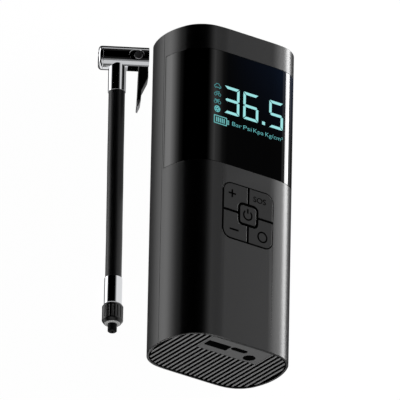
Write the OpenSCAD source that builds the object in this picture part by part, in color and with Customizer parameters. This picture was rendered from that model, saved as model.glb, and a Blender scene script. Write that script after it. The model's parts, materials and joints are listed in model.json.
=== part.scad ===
// Cordless tyre inflator with a detachable air hose, lying on its back.
// X runs across the body, Y along it from the ported end to the lamp end, Z out of the front.
// A place along the body is written as l, its distance from the ported end.

/* [Body] */
// Width of the body
body_w = 69; // [68:0.5:73]
// Thickness of the body, back to front
body_t = 46.6; // [46:0.2:50]
// Length of the body
body_l = 165; // [163:1:180]
// Radius of the four long corners
corner_r = 15.4; // [14.8:0.1:16]
// Radius of the bulging sides
side_r = 35.2; // [34:0.2:38]
// Radius of the slight curve between each flat face and its corners
ease_r = 55; // [45:1:60]
// Wall of both shells
wall = 2.2; // [2.1:0.1:2.4]
// Height of the parting line above the back
seam_z = 22.8; // [22.4:0.1:23.4]

/* [Ported end] */
// Width of the shell's rim round both ends
rim_w = 1.1; // [0.9:0.1:1.3]
// Open gap between the rim and the grille
rim_gap = 0.6; // [0.5:0.1:1]
// Depth of each end face inside its rim
face_sink = 0.3; // [0.2:0.1:0.6]
// Thickness of both end plates
end_plate_t = 3.1; // [2.8:0.1:3.4]
// Number of ribs across the grille
rib_count = 24; // [20:2:24]
// Distance from rib to rib
rib_pitch = 2.68; // [2.5:0.02:2.7]
// Width of a rib
rib_w = 1.15; // [1:0.05:1.4]
// Depth of the grooves between the ribs
groove_depth = 1.6; // [1.2:0.1:1.8]
// Width of the smooth port plate
port_plate_w = 34.6; // [34:0.2:37]
// Height above the back at which the port plate starts
port_plate_z = 30.3; // [29.5:0.1:31]
// Centre of the USB-A socket across the body
usb_a_x = -9.8; // [-10.2:0.1:-9.6]
// Height of the USB-A socket's centre
usb_a_z = 37.4; // [37:0.1:38]
// Centre of the USB-C socket across the body
usb_c_x = 1.8; // [1.6:0.1:2]
// Height of the USB-C socket's centre
usb_c_z = 39; // [38.5:0.1:39.5]
// Centre of the air outlet across the body
outlet_x = 10.6; // [10.4:0.1:11]
// Height of the air outlet's centre
outlet_z = 34.7; // [34.5:0.1:34.8]
// Diameter of the outlet hole in the port plate
outlet_d = 6.1; // [6:0.1:6.6]

/* [Display] */
// Distance from the ported end to the glossy band
band_start = 92.5; // [90:0.5:94]
// Length of the glossy band
band_l = 59.5; // [58:0.5:62]
// Thickness of the glossy band
band_t = 1.2; // [1:0.1:1.4]
// Height of the band's edges above the parting line
band_rise = 1.5; // [1.2:0.1:2]
// Width of the display module
module_w = 45; // [44:0.5:46]
// Length of the display module
module_l = 26; // [24:0.5:28]

/* [Buttons] */
// Distance from the ported end to the pad's centre
pad_centre = 68.6; // [68:0.1:70]
// Width and length of the button pad
pad_w = 28.8; // [28:0.2:30]
// Corner radius of the button pad
pad_r = 4.4; // [3:0.1:5]
// Gap round the whole pad
pad_gap = 0.5; // [0.4:0.1:0.7]
// Gap between two buttons
key_gap = 1; // [0.8:0.1:1.2]
// Gap round the power button
power_gap = 1.2; // [1:0.1:1.4]
// Width of the square power button
power_w = 9.5; // [9:0.1:10.4]
// Corner radius of the power button
power_r = 1.6; // [1.4:0.1:2.5]
// How far each button travels
key_travel = 0.6; // [0.4:0.1:0.8]
// How far the buttons stand out of the shell
key_proud = 0.2; // [0.1:0.1:0.5]

/* [Lamp end] */
// Width of the lamp lens
lamp_w = 40; // [36:1:42]
// Height of the lamp lens
lamp_h = 14; // [12:0.5:16]

/* [Battery] */
// Diameter of one cell
cell_d = 18.4; // [18:0.1:18.6]
// Length of one cell
cell_l = 64.9; // [64:0.1:66]
// Distance from cell to cell
cell_pitch = 19.3; // [19:0.1:19.5]

/* [Pump] */
// Module of both gears
gear_module = 0.7; // [0.65:0.05:0.7]
// Teeth of the motor pinion
pinion_teeth = 10; // [10:2:12]
// Teeth of the crank gear
gear_teeth = 40; // [36:2:40]
// Width of the crank gear
gear_w = 4; // [3.5:0.1:4.2]
// Throw of the crank
crank_throw = 2.8; // [2.4:0.1:2.8]
// Distance from crank pin to wrist pin
rod_l = 33; // [32.5:0.1:34]
// Bore of the cylinder
bore_d = 16; // [16:0.1:16.4]
// Wall of the cylinder
cylinder_wall = 2; // [1.8:0.1:2.1]
// Diameter of the motor
motor_d = 27; // [26:0.5:27]
// Length of the motor can
motor_l = 30; // [28:0.5:30]
// Distance from the ported end to the crank shaft
crank_at = 27; // [27:0.1:28]
// Radial clearance of the turning and sliding fits
fit = 0.05; // [0.03:0.01:0.08]

/* [Hose] */
// Outer diameter of the rubber hose
hose_d = 8; // [7:0.1:8.4]
// Diameter of the crimped ferrules
ferrule_d = 8.7; // [8.6:0.1:9.2]
// Length of the ferrule at the connector
ferrule_l = 13.9; // [12.5:0.1:15]
// Diameter of the knurled nut
nut_d = 10.3; // [9.8:0.1:10.4]
// Length of the knurled nut
nut_l = 9.8; // [9.6:0.1:11]
// Diameter of the threaded nipple
nipple_d = 4.5; // [4.2:0.1:4.8]
// How far the nipple stands out of the nut
nipple_out = 4.3; // [3.5:0.1:5]

/* [Chuck] */
// Diameter of the chuck's crossbar
chuck_d = 11.8; // [11.4:0.1:12]
// Length of the crossbar from the hose axis to the mouth
mouth_l = 9.3; // [9:0.1:10.5]
// Length of the crossbar from the hose axis to the lever end
tail_l = 15.1; // [15:0.1:16]
// Width of the chrome cap round the mouth
cap_l = 2.2; // [2:0.1:2.6]
// Bore of the mouth, for a tyre valve
mouth_d = 7.9; // [7.8:0.1:8.1]
// Lean of the crossbar, its lever end raised
chuck_lean = 31; // [30:1:38]
// Distance from the hose axis to the lever pivot
pivot_u = 9.8; // [9.6:0.1:10.2]
// Length of the lever below its pivot
lever_l = 27.2; // [25:0.1:30]
// Thickness of the lever at its root
lever_t = 4.6; // [4:0.1:4.8]
// Width of the lever's grip
lever_w = 8; // [7:0.1:9]
// How far the cam drives the plunger
plunger_lift = 2; // [1.5:0.1:2]

/* [Hidden] */
$fn = 96;

// Colours
shell_grey = "#4a4a4c";
grille_grey = "#5c5c5e";
key_grey = "#434345";
gloss_black = "#0b0d12";
frame_black = "#151515";
board_green = "#1f5a3c";
steel = "#b9bcc0";
chrome = "#d8dade";
brass = "#c8a24e";
nylon = "#e9e4d4";
alloy = "#a6a8aa";
rubber_black = "#1b1b1c";
cell_blue = "#3d6fa8";
clear_white = "#e8eef2";

// A hair that makes cuts run past a face
e = 0.5;
// Flat clearance between pieces that slot into each other
slip = 0.1;

// ---- Placing ----

// Limits either side of a centre, and limits counted on from a start.
function about(centre, half) = [centre - half, centre + half];
function past(start, a, b) = [start + a, start + b];

// Extrudes an (x, z) outline from one distance along the body to another.
module along(from, to) {
    translate([0, to - body_l / 2, 0])
        rotate([90, 0, 0])
            linear_extrude(height = to - from) children();
}

// Extrudes an (x, l) outline from one height to another.
module upward(from, to) {
    translate([0, -body_l / 2, from])
        linear_extrude(height = to - from) children();
}

// A block between pairs of limits along x, l and z.
module block(x, l, z) {
    translate([x[0], l[0] - body_l / 2, z[0]])
        cube([x[1] - x[0], l[1] - l[0], z[1] - z[0]]);
}

// A rod along X, along the body, and along Z.
module rod_x(x, l, z, r) {
    translate([x[0], l - body_l / 2, z])
        rotate([0, 90, 0])
            cylinder(r = r, h = x[1] - x[0]);
}

module rod_l(x, l, z, r, r_end = undef) {
    translate([x, l[0] - body_l / 2, z])
        rotate([-90, 0, 0])
            cylinder(r1 = r, r2 = is_undef(r_end) ? r : r_end, h = l[1] - l[0]);
}

module rod_z(x, l, z, r) {
    translate([x, l - body_l / 2, z[0]])
        cylinder(r = r, h = z[1] - z[0]);
}

// A rectangle with round corners, from two bars and four quarter discs.
module rounded_rect(w, h, r) {
    square([w, h - 2 * r], center = true);
    square([w - 2 * r, h], center = true);
    for (sx = [-1, 1], sy = [-1, 1])
        translate([sx * (w / 2 - r), sy * (h / 2 - r)])
            intersection() {
                circle(r);
                translate([sx * r / 2, sy * r / 2]) square(r, center = true);
            }
}

// ---- Body outline ----

// Going round from the front, each flat eases into a corner, and the corner runs into the side.
ease_turn = 7;
ease_z = body_t / 2 - ease_r;
corner_z = ease_z + (ease_r - corner_r) * cos(ease_turn);
side_x = body_w / 2 - side_r;
corner_x = side_x + sqrt(pow(side_r - corner_r, 2) - pow(corner_z, 2));
ease_x = corner_x - (ease_r - corner_r) * sin(ease_turn);

// Points on an arc, with some left out before its end or after its start.
function arc(centre, r, from, to, steps, first = 0, last = 0) =
    [for (i = [first : steps - last])
        let (turn = from + (to - from) * i / steps) centre + r * [cos(turn), sin(turn)]];

// A quarter of the outline, from the side's middle to the front's flat, all inside by inset.
function outline_quarter(inset) =
    let (side_turn = atan2(corner_z, corner_x - side_x))
        concat(
            arc([side_x, 0], side_r - inset, 0, side_turn, 6, 0, 1),
            arc([corner_x, corner_z], corner_r - inset, side_turn, 90 - ease_turn, 16),
            arc([ease_x, ease_z], ease_r - inset, 90 - ease_turn, 90, 3, 1)
        );

// The quarter turned over by sx and sz, with its points in the opposite order where backward.
function turned_over(points, sx, sz, backward) =
    [for (i = [0 : len(points) - 1])
        let (p = points[backward ? len(points) - 1 - i : i]) [sx * p[0], sz * p[1]]];

// All points of a run but its first and last.
function inner_run(points, first, last) = [for (i = [first : len(points) - 1 - last]) points[i]];

// The outline across the body, all round inside its surface by inset.
module body_outline(inset = 0) {
    quarter = outline_quarter(inset);
    translate([0, body_t / 2]) polygon(concat(
        quarter,
        inner_run(turned_over(quarter, -1, 1, true), 0, 1),
        turned_over(quarter, -1, -1, false),
        inner_run(turned_over(quarter, 1, -1, true), 0, 1)
    ));
}

module above(z) {
    block([-body_w, body_w], [-body_l, 2 * body_l], [z, z + 2 * body_t]);
}

module below(z) {
    block([-body_w, body_w], [-body_l, 2 * body_l], [z - 2 * body_t, z]);
}

// ---- Levels and places worked out from the sizes above ----

front_inner = body_t - wall;
end_inset = rim_w + rim_gap;
end_seat = face_sink + end_plate_t;
lip_h = 1.2;
lip_l = 8;

// Shell screws stand in bosses near the four corners.
screw_x = 22;
screw_in = 6.5;
boss_r = 3;
screw_head_r = 2.6;
screw_shank_r = 1.2;
screw_sink = 2.4;
boss_inset = 0.6;
screw_head_h = 1.6;
screw_bite = 7;

// Buttons, their frame, the switches and the board are stacked under the front.
frame_t = 1;
stem_r = 1.5;
stem_out = 0.3;
switch_h = 3.9;
switch_w = 6;
board_t = 1.6;
stem_end = front_inner - frame_t - stem_out;
board_top = stem_end - key_travel - switch_h;
board_z = board_top - board_t;
board_w = 48;
board_from = 46.5;
board_to = body_l - 15;
pillar_x = board_w / 2 - 3;
pillar_r = 2.5;
pillar_at = [board_from + 4, board_to - 4];
key_bottom = front_inner + key_travel + slip;
key_top = body_t + key_proud;
frame_margin = 2;
frame_w = pad_w + 2 * pad_gap + 2 * frame_margin;

// The display module stands on the board, just short of the band's curved back.
module_into_band = 31;
module_centre = band_start + module_into_band;
module_top = front_inner - 0.3;

// Battery, ending just short of the lamp end's screw bosses.
holder_floor = 1.7;
cell_z = wall + holder_floor + cell_d / 2;
cell_stop = body_l - 11.5;
cell_start = cell_stop - cell_l;
cell_bump = 0.5;
link_t = 0.2;
holder_end_t = 1.5;

// Pump: motor, gears, crank and cylinder share one height.
pump_z = wall + 1.8 + motor_d / 2;
motor_face_x = 8;
frame_plate_t = 2;
gear_x = motor_face_x + frame_plate_t + 0.6;
motor_at = crank_at + gear_module * (pinion_teeth + gear_teeth) / 2;
motor_shaft_r = 1.15;
motor_boss_r = 3;
motor_screw_z = 8;
motor_screw_r = 1;
rotor_r = 8.6;
crank_shaft_r = 2.5;
crank_pin_r = 2;
wrist_pin_r = 1.25;
rod_x0 = gear_x + gear_w + 2.9;
rod_t = 3;
cylinder_x = rod_x0 + rod_t / 2;
crank_pin_at = crank_at - crank_throw;
wrist_at = crank_pin_at + rod_l;
small_end_r = 2.7;
crown_t = 1.8;
piston_skirt = 5;
piston_from = wrist_at - piston_skirt;
piston_to = wrist_at + small_end_r + 2 * crank_throw + 0.3 + crown_t;
bore_r = bore_d / 2;
skirt_t = 1.55;
seal_w = 1.6;
cylinder_from = piston_from - 0.7;
head_from = piston_to + 2 * crank_throw + 0.4;
valve_plate_t = 1;
head_l = 7.4;
tube_at = head_from + 3.7;
tube_r = 2;
tube_bore_r = 1.1;

// Outlet bush behind the port plate. The nut's nose seats in its mouth.
bush_r = 4.5;
bush_seat = end_seat + 0.7;
bush_thread_r = 2.15;
bush_thread_l = 5;
bush_l = 10.6;

// USB sockets, as their standards give them.
usb_a_hole = [12.8, 5.4];
usb_a_shell = [13.1, 5.7];
usb_a_open = [12.5, 5.12];
usb_c_hole = [9, 3.2];
usb_c_open = [8.34, 2.56];
usb_l = 14;
socket_wall = 0.3;

// ---- Housing ----

// The tube that both shells are halves of, thinned at its ends into rims.
module shell_tube() {
    difference() {
        along(0, body_l) body_outline();
        along(-e, body_l + e) body_outline(wall);
        along(-e, end_seat) body_outline(rim_w);
        along(body_l - end_seat, body_l + e) body_outline(rim_w);
    }
}

module at_screws() {
    for (x = [-screw_x, screw_x], l = [screw_in, body_l - screw_in])
        translate([x, l - body_l / 2, 0]) children();
}

module seam_lip(inset, drop) {
    intersection() {
        along(lip_l, body_l - lip_l) difference() {
            body_outline(inset);
            body_outline(wall);
        }
        block([-body_w, body_w], [0, body_l], [seam_z - drop, seam_z]);
    }
}

module band_solid(outer, inner, grow) {
    intersection() {
        along(band_start - grow, band_start + band_l + grow) difference() {
            body_outline(outer);
            body_outline(inner);
        }
        above(seam_z + band_rise - grow);
    }
}

module pad_place() {
    translate([0, pad_centre]) children();
}

module front_shell() {
    color(shell_grey) difference() {
        union() {
            intersection() {
                shell_tube();
                above(seam_z);
            }
            seam_lip(wall / 2 + slip / 2, lip_h);
            intersection() {
                along(0, body_l) body_outline(boss_inset);
                union() {
                    at_screws() translate([0, 0, seam_z]) cylinder(r = boss_r, h = body_t);
                    for (x = [-pillar_x, pillar_x], l = pillar_at)
                        rod_z(x, l, [board_top, body_t], pillar_r);
                }
            }
        }
        band_solid(-e, band_t, slip / 2);
        block(about(0, module_w / 2), about(module_centre, module_l / 2),
              [front_inner - wall, body_t]);
        upward(front_inner - e, body_t + e)
            pad_place() rounded_rect(pad_w + 2 * pad_gap, pad_w + 2 * pad_gap, pad_r + pad_gap);
        upward(front_inner - frame_t, front_inner) pad_place() frame_outline(slip);
        at_screws() translate([0, 0, seam_z - e])
            cylinder(r = screw_shank_r + fit, h = screw_bite + 1 + e);
        for (x = [-pillar_x, pillar_x], l = pillar_at)
            rod_z(x, l, [board_top - e, board_top + 4], 0.8);
    }
}

// Saddles that carry the motor, each with its own round seat.
module motor_saddles() {
    saddle_t = 2;
    saddle_drop = 6;
    for (x = [motor_face_x - motor_l + 5, motor_face_x - 9])
        difference() {
            block([x, x + saddle_t], about(motor_at, motor_d / 2), [wall - 1, pump_z - saddle_drop]);
            rod_x([x - e, x + saddle_t + e], motor_at, pump_z, motor_d / 2);
        }
}

module rear_shell() {
    color(shell_grey) difference() {
        union() {
            intersection() {
                shell_tube();
                below(seam_z);
            }
            intersection() {
                along(0, body_l) body_outline(boss_inset);
                at_screws() cylinder(r = boss_r, h = seam_z);
            }
            motor_saddles();
        }
        intersection() {
            seam_lip(wall / 2, lip_h + slip);
            below(seam_z + e);
        }
        at_screws() translate([0, 0, -e]) cylinder(r = screw_head_r + slip, h = screw_sink + screw_head_h + e);
        at_screws() cylinder(r = screw_shank_r + fit, h = seam_z + e);
    }
}

module port_plate_area(grow) {
    translate([-port_plate_w / 2 - grow, port_plate_z - grow])
        square([port_plate_w + 2 * grow, body_t]);
}

module base_grille() {
    vent_w = 1;
    vent_from = 9;
    vent_to = 25;
    groove_w = rib_pitch - rib_w;
    half = rib_count / 2;
    color(grille_grey) difference() {
        along(face_sink, end_seat) difference() {
            body_outline(end_inset);
            port_plate_area(slip);
        }
        for (i = [-half : half]) {
            block(about(i * rib_pitch, groove_w / 2), [face_sink - e, face_sink + groove_depth],
                  [-e, body_t + e]);
            if (abs(i) < half - 1)
                block(about(i * rib_pitch, vent_w / 2), [0, end_seat + e], [vent_from, vent_to]);
        }
    }
}

module port_plate() {
    color(grille_grey) along(face_sink, end_seat) difference() {
        intersection() {
            body_outline(end_inset);
            port_plate_area(0);
        }
        translate([usb_a_x, usb_a_z]) rounded_rect(usb_a_hole[0], usb_a_hole[1], 0.5);
        translate([usb_c_x, usb_c_z]) rounded_rect(usb_c_hole[0], usb_c_hole[1], usb_c_hole[1] / 2 - 0.01);
        translate([outlet_x, outlet_z]) circle(outlet_d / 2);
    }
}

module top_cap() {
    color(grille_grey) along(body_l - end_seat, body_l - face_sink) difference() {
        body_outline(end_inset);
        translate([0, body_t / 2]) rounded_rect(lamp_w + 2 * slip, lamp_h + 2 * slip, lamp_h / 2 - 1);
    }
}

module lamp_lens() {
    flange = 1.5;
    flange_t = 1;
    color(clear_white) {
        along(body_l - end_seat, body_l - face_sink)
            translate([0, body_t / 2]) rounded_rect(lamp_w, lamp_h, lamp_h / 2 - 1 - slip);
        along(body_l - end_seat - flange_t, body_l - end_seat)
            translate([0, body_t / 2])
                rounded_rect(lamp_w + 2 * flange - 4, lamp_h + 2 * flange, lamp_h / 2 - 1);
    }
}

module lamp_board() {
    led_count = 6;
    board_at = body_l - end_seat - 2.6;
    led_pitch = (lamp_w - 8) / (led_count - 1);
    color(board_green)
        block(about(0, lamp_w / 2 - 2), [board_at - 1, board_at], about(body_t / 2, lamp_h / 2));
    color("#f2e7a0")
        for (i = [0 : led_count - 1])
            block(about((i - (led_count - 1) / 2) * led_pitch, 1.4), [board_at, board_at + 0.8],
                  about(body_t / 2, 1.75));
}

module display_lens() {
    color(gloss_black) band_solid(0, band_t - slip / 2, 0);
}

module display_module() {
    rim = 1.2;
    glass_sink = 1.2;
    color("#e9e9ea") difference() {
        block(about(0, module_w / 2 - slip), about(module_centre, module_l / 2 - slip),
              [board_top, module_top]);
        block(about(0, module_w / 2 - rim), about(module_centre, module_l / 2 - rim),
              [module_top - glass_sink, body_t]);
    }
}

// ---- Buttons ----

// One of the four corner buttons, in the quarter that sx and sy point to.
module corner_key_outline(sx, sy, grow) {
    inner = power_w + 2 * power_gap - 2 * grow;
    difference() {
        intersection() {
            rounded_rect(pad_w + 2 * grow, pad_w + 2 * grow, pad_r + grow);
            translate([sx, sy] * (pad_w / 2 + key_gap / 2 - grow)) square(pad_w, center = true);
        }
        rounded_rect(inner, inner, power_r + power_gap - grow);
    }
}

module power_key_outline(grow) {
    rounded_rect(power_w + 2 * grow, power_w + 2 * grow, power_r + grow);
}

// Where each stem and its switch stand: towards the pad's corners, and in the middle.
key_offset = pad_w * 0.3;

module corner_key(sx, sy) {
    color(key_grey) {
        upward(key_bottom, key_top) pad_place() corner_key_outline(sx, sy, 0);
        rod_z(sx * key_offset, pad_centre + sy * key_offset, [stem_end, key_bottom], stem_r);
    }
}

module button_plus() { corner_key(-1, 1); }
module button_light() { corner_key(1, 1); }
module button_minus() { corner_key(-1, -1); }
module button_mode() { corner_key(1, -1); }

module button_power() {
    color(key_grey) {
        upward(key_bottom, key_top) pad_place() power_key_outline(0);
        rod_z(0, pad_centre, [stem_end, key_bottom], stem_r);
    }
}

module at_keys() {
    for (p = [[0, 0], [-1, -1], [-1, 1], [1, -1], [1, 1]])
        translate([p[0] * key_offset, pad_centre + p[1] * key_offset - body_l / 2, 0]) children();
}

module frame_outline(grow) {
    rounded_rect(frame_w + 2 * grow, frame_w + 2 * grow, pad_r + pad_gap + frame_margin + grow);
}

// The black frame under the keys, with bars that stand in the gaps between them.
module button_frame() {
    bar_drop = 0.6;
    key_slip = 0.15;
    color(frame_black) difference() {
        union() {
            upward(front_inner - frame_t, front_inner) pad_place() frame_outline(0);
            upward(front_inner, body_t - bar_drop) pad_place() difference() {
                rounded_rect(pad_w, pad_w, pad_r);
                power_key_outline(key_slip);
                for (sx = [-1, 1], sy = [-1, 1]) corner_key_outline(sx, sy, key_slip);
            }
        }
        at_keys() translate([0, 0, front_inner - frame_t - e]) cylinder(r = stem_r + slip, h = frame_t + 2 * e);
    }
}

module tact_switches() {
    plunger_h = 0.5;
    color(steel) at_keys() {
        translate([0, 0, board_top + (switch_h - plunger_h) / 2])
            cube([switch_w, switch_w, switch_h - plunger_h], center = true);
        translate([0, 0, board_top + switch_h - plunger_h]) cylinder(r = 1.6, h = plunger_h);
    }
}

// ---- Boards, sockets and outlet ----

module main_board() {
    color(board_green) difference() {
        block(about(0, board_w / 2), [board_from, board_to], [board_z, board_top]);
        for (x = [-pillar_x, pillar_x], l = pillar_at)
            rod_z(x, l, [board_z - e, board_top + e], 1.1);
    }
    chip_h = 1.4;
    color("#222222")
        for (chip = [[-12, 60, 7], [-14, 74, 5], [-3, 100, 9], [12, 104, 4], [-12, 128, 6]])
            block(about(chip[0], chip[2] / 2), about(chip[1], chip[2] / 2),
                  [board_z - chip_h, board_z]);
}

// A small board that stands across the backs of both sockets.
module port_board() {
    past_a = 8;
    past_c = 3.9;
    height = 9.3;
    foot = usb_a_z - 6;
    color(board_green)
        block([usb_a_x - past_a, usb_c_x + past_c], past(end_seat + usb_l, 0, board_t), [foot, foot + height]);
}

module socket(x, z, outer, open, r, tongue_h, tongue_back) {
    from = end_seat;
    color(steel) difference() {
        along(from, from + usb_l) translate([x, z]) rounded_rect(outer[0], outer[1], r + socket_wall);
        along(from - e, from + usb_l - 1) translate([x, z]) rounded_rect(open[0], open[1], r);
    }
    color("#202020")
        block(about(x, open[0] / 2 - 0.8), [from + tongue_back, from + usb_l - 1],
              past(z, tongue_h[0], tongue_h[1]));
}

module usb_a_socket() {
    socket(usb_a_x, usb_a_z, usb_a_shell, usb_a_open, 0.3, [0.3, 2.1], 1.5);
}

module usb_c_socket() {
    outer = usb_c_open + [2, 2] * socket_wall;
    socket(usb_c_x, usb_c_z, outer, usb_c_open, usb_c_open[1] / 2 - 0.05, [-0.35, 0.35], 1);
}

module outlet_bush() {
    barb_r = tube_bore_r;
    color(brass) difference() {
        union() {
            rod_l(outlet_x, past(end_seat, 0, bush_l), outlet_z, bush_r);
            rod_l(outlet_x, past(end_seat, bush_l, bush_l + 4), outlet_z, barb_r);
        }
        rod_l(outlet_x, [end_seat - e, bush_seat], outlet_z, outlet_d / 2);
        rod_l(outlet_x, past(bush_seat, -e, bush_thread_l), outlet_z, bush_thread_r);
        rod_l(outlet_x, [bush_seat, end_seat + bush_l + 4 + e], outlet_z, 0.6);
    }
}

// The inner air line runs along the body, slants across, and turns down onto the cylinder head.
// Its runs go on past both bends by reach.
module air_path(r, reach, extra) {
    start = end_seat + bush_l;
    bend = head_from - 12;
    across = sqrt(pow(cylinder_x - outlet_x, 2) + pow(tube_at - bend, 2));
    rod_l(outlet_x, [start - extra, bend + reach], outlet_z, r);
    translate([outlet_x, bend - body_l / 2, outlet_z])
        rotate([0, 0, -atan2(cylinder_x - outlet_x, tube_at - bend)])
            rotate([-90, 0, 0])
                translate([0, 0, -reach]) cylinder(r = r, h = across + 2 * reach);
    rod_z(cylinder_x, tube_at, [pump_z + bore_r + cylinder_wall + 0.5 - extra, outlet_z + r], r);
}

module air_tube() {
    color(rubber_black) difference() {
        air_path(tube_r, 0.9, 0);
        air_path(tube_bore_r, 0.5, e);
    }
}

// ---- Battery ----

module battery_cells() {
    color(cell_blue)
        for (i = [-1 : 1]) {
            rod_l(i * cell_pitch, [cell_start, cell_stop - cell_bump], cell_z, cell_d / 2);
            rod_l(i * cell_pitch, [cell_stop - cell_bump, cell_stop], cell_z, 3);
        }
}

module cell_links() {
    link_w = 8;
    color(steel) {
        block([-cell_pitch - 4, 4], [cell_start - link_t, cell_start], about(cell_z, link_w / 2));
        block([-4, cell_pitch + 4], [cell_stop, cell_stop + link_t], about(cell_z, link_w / 2));
    }
}

module battery_holder() {
    tray_h = 5;
    holder_gap = 0.3;
    from = cell_start - link_t;
    to = cell_stop + link_t;
    color(frame_black) {
        difference() {
            intersection() {
                along(from, to) body_outline(wall + slip);
                below(wall + slip + tray_h);
            }
            for (i = [-1 : 1])
                rod_l(i * cell_pitch, [from - e, to + e], cell_z, cell_d / 2 + slip / 2);
        }
        for (l = [from - holder_end_t, to])
            intersection() {
                along(l, l + holder_end_t) body_outline(wall + holder_gap);
                below(cell_z + cell_d / 2);
            }
    }
}

// ---- Pump ----

// A spur gear's outline with straight-flanked teeth and some backlash.
module gear_outline(teeth) {
    pitch_r = gear_module * teeth / 2;
    tip_r = pitch_r + 0.85 * gear_module;
    root_r = pitch_r - 1.25 * gear_module;
    half_tooth = 0.2 * PI * gear_module;
    flank = tan(20) * gear_module;
    tip_half = half_tooth - 0.85 * flank;
    root_half = half_tooth + 1.1 * flank;
    polygon([
        for (i = [0 : teeth - 1])
            for (p = [[root_r, -root_half], [tip_r, -tip_half], [tip_r, tip_half], [root_r, root_half]])
                let (turn = 360 * i / teeth)
                    [p[0] * cos(turn) - p[1] * sin(turn), p[0] * sin(turn) + p[1] * cos(turn)]
    ]);
}

// Stands a gear on the X axis at a distance along the body, one tooth pointing to +Y.
module gear_solid(x, l, teeth, turn, thick) {
    translate([x, l - body_l / 2, pump_z])
        rotate([0, 90, 0])
            rotate([0, 0, 90 + turn])
                linear_extrude(height = thick) gear_outline(teeth);
}

module motor_can() {
    can_t = 0.8;
    color(alloy) difference() {
        union() {
            rod_x([motor_face_x - motor_l, motor_face_x], motor_at, pump_z, motor_d / 2);
            rod_x(past(motor_face_x, -motor_l - 2, -motor_l), motor_at, pump_z, motor_boss_r);
            rod_x(past(motor_face_x, 0, 1.5), motor_at, pump_z, motor_boss_r);
        }
        rod_x(past(motor_face_x, 3 - motor_l, -1.5), motor_at, pump_z, motor_d / 2 - can_t);
        rod_x([motor_face_x - motor_l - 2 - e, motor_face_x + 2], motor_at, pump_z, motor_shaft_r + fit);
        for (z = [-motor_screw_z, motor_screw_z])
            rod_x(past(motor_face_x, -2, e), motor_at, pump_z + z, motor_screw_r + fit);
    }
}

module motor_magnets() {
    color("#3a3a3a") difference() {
        rod_x(past(motor_face_x, 4 - motor_l, -3), motor_at, pump_z, motor_d / 2 - 0.8);
        rod_x([motor_face_x - motor_l, motor_face_x], motor_at, pump_z, 9.3);
        for (side = [-1, 1])
            block([motor_face_x - motor_l, motor_face_x], about(motor_at, 3),
                  about(pump_z + side * 11, 3));
    }
}

module motor_rotor() {
    slots = 5;
    color("#b06a3a") difference() {
        rod_x(past(motor_face_x, 6 - motor_l, -5), motor_at, pump_z, rotor_r);
        for (i = [0 : slots - 1])
            translate([0, motor_at - body_l / 2, pump_z])
                rotate([360 * i / slots, 0, 0])
                    translate([motor_face_x - motor_l, -0.7, 4]) cube([motor_l, 1.4, 8]);
    }
    color(steel) rod_x([motor_face_x - motor_l - 2.5, gear_x + gear_w + 0.3], motor_at, pump_z, motor_shaft_r);
}

module pinion() {
    color(brass) difference() {
        gear_solid(gear_x - 0.2, motor_at, pinion_teeth, 180 / pinion_teeth, gear_w + 0.4);
        rod_x([gear_x - 1, gear_x + gear_w + 1], motor_at, pump_z, motor_shaft_r + 0.01);
    }
}

module crank_gear() {
    web = 1.5;
    rim_in = gear_module * gear_teeth / 2 - 2.6;
    color(nylon) difference() {
        gear_solid(gear_x, crank_at, gear_teeth, 0, gear_w);
        difference() {
            rod_x([gear_x - 1, gear_x + gear_w - web], crank_at, pump_z, rim_in);
            rod_x([gear_x - 2, gear_x + gear_w], crank_at, pump_z, 6.2);
        }
        rod_x([gear_x - 1, gear_x + gear_w + 1], crank_at, pump_z, crank_shaft_r + 0.01);
    }
}

module crank_bearing() {
    color(brass) difference() {
        rod_x([gear_x - 6, gear_x - 0.3], crank_at, pump_z, crank_shaft_r + 1.1);
        rod_x([gear_x - 7, gear_x], crank_at, pump_z, crank_shaft_r + fit);
    }
}

// The shaft carries a small disc on the gear's outer face, into which the crank pin is pressed.
disc_t = 1.4;

module crank_shaft() {
    color(steel) difference() {
        union() {
            rod_x([gear_x - 6.5, gear_x + gear_w], crank_at, pump_z, crank_shaft_r);
            rod_x([gear_x + gear_w, gear_x + gear_w + disc_t], crank_at, pump_z, 6.5);
        }
        rod_x([gear_x + gear_w + 0.4, gear_x + gear_w + disc_t + 1], crank_pin_at, pump_z, crank_pin_r + 0.01);
    }
}

module crank_pin() {
    color(steel)
        rod_x([gear_x + gear_w + 0.4, rod_x0 + rod_t + 0.4], crank_pin_at, pump_z, crank_pin_r);
}

module connecting_rod() {
    big_end_r = 4.2;
    color(nylon) difference() {
        union() {
            rod_x([rod_x0, rod_x0 + rod_t], crank_pin_at, pump_z, big_end_r);
            rod_x([rod_x0, rod_x0 + rod_t], wrist_at, pump_z, small_end_r);
            block([rod_x0, rod_x0 + rod_t], [crank_pin_at, wrist_at], about(pump_z, 2));
        }
        rod_x([rod_x0 - 1, rod_x0 + rod_t + 1], crank_pin_at, pump_z, crank_pin_r + fit);
        rod_x([rod_x0 - 1, rod_x0 + rod_t + 1], wrist_at, pump_z, wrist_pin_r + 0.01);
    }
}

// The pin stays in the rod and ends just short of the piston's bosses.
wrist_pin_half = rod_t / 2 + 1.1;

module wrist_pin() {
    color(steel)
        rod_x(about(cylinder_x, wrist_pin_half), wrist_at, pump_z, wrist_pin_r);
}

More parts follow.
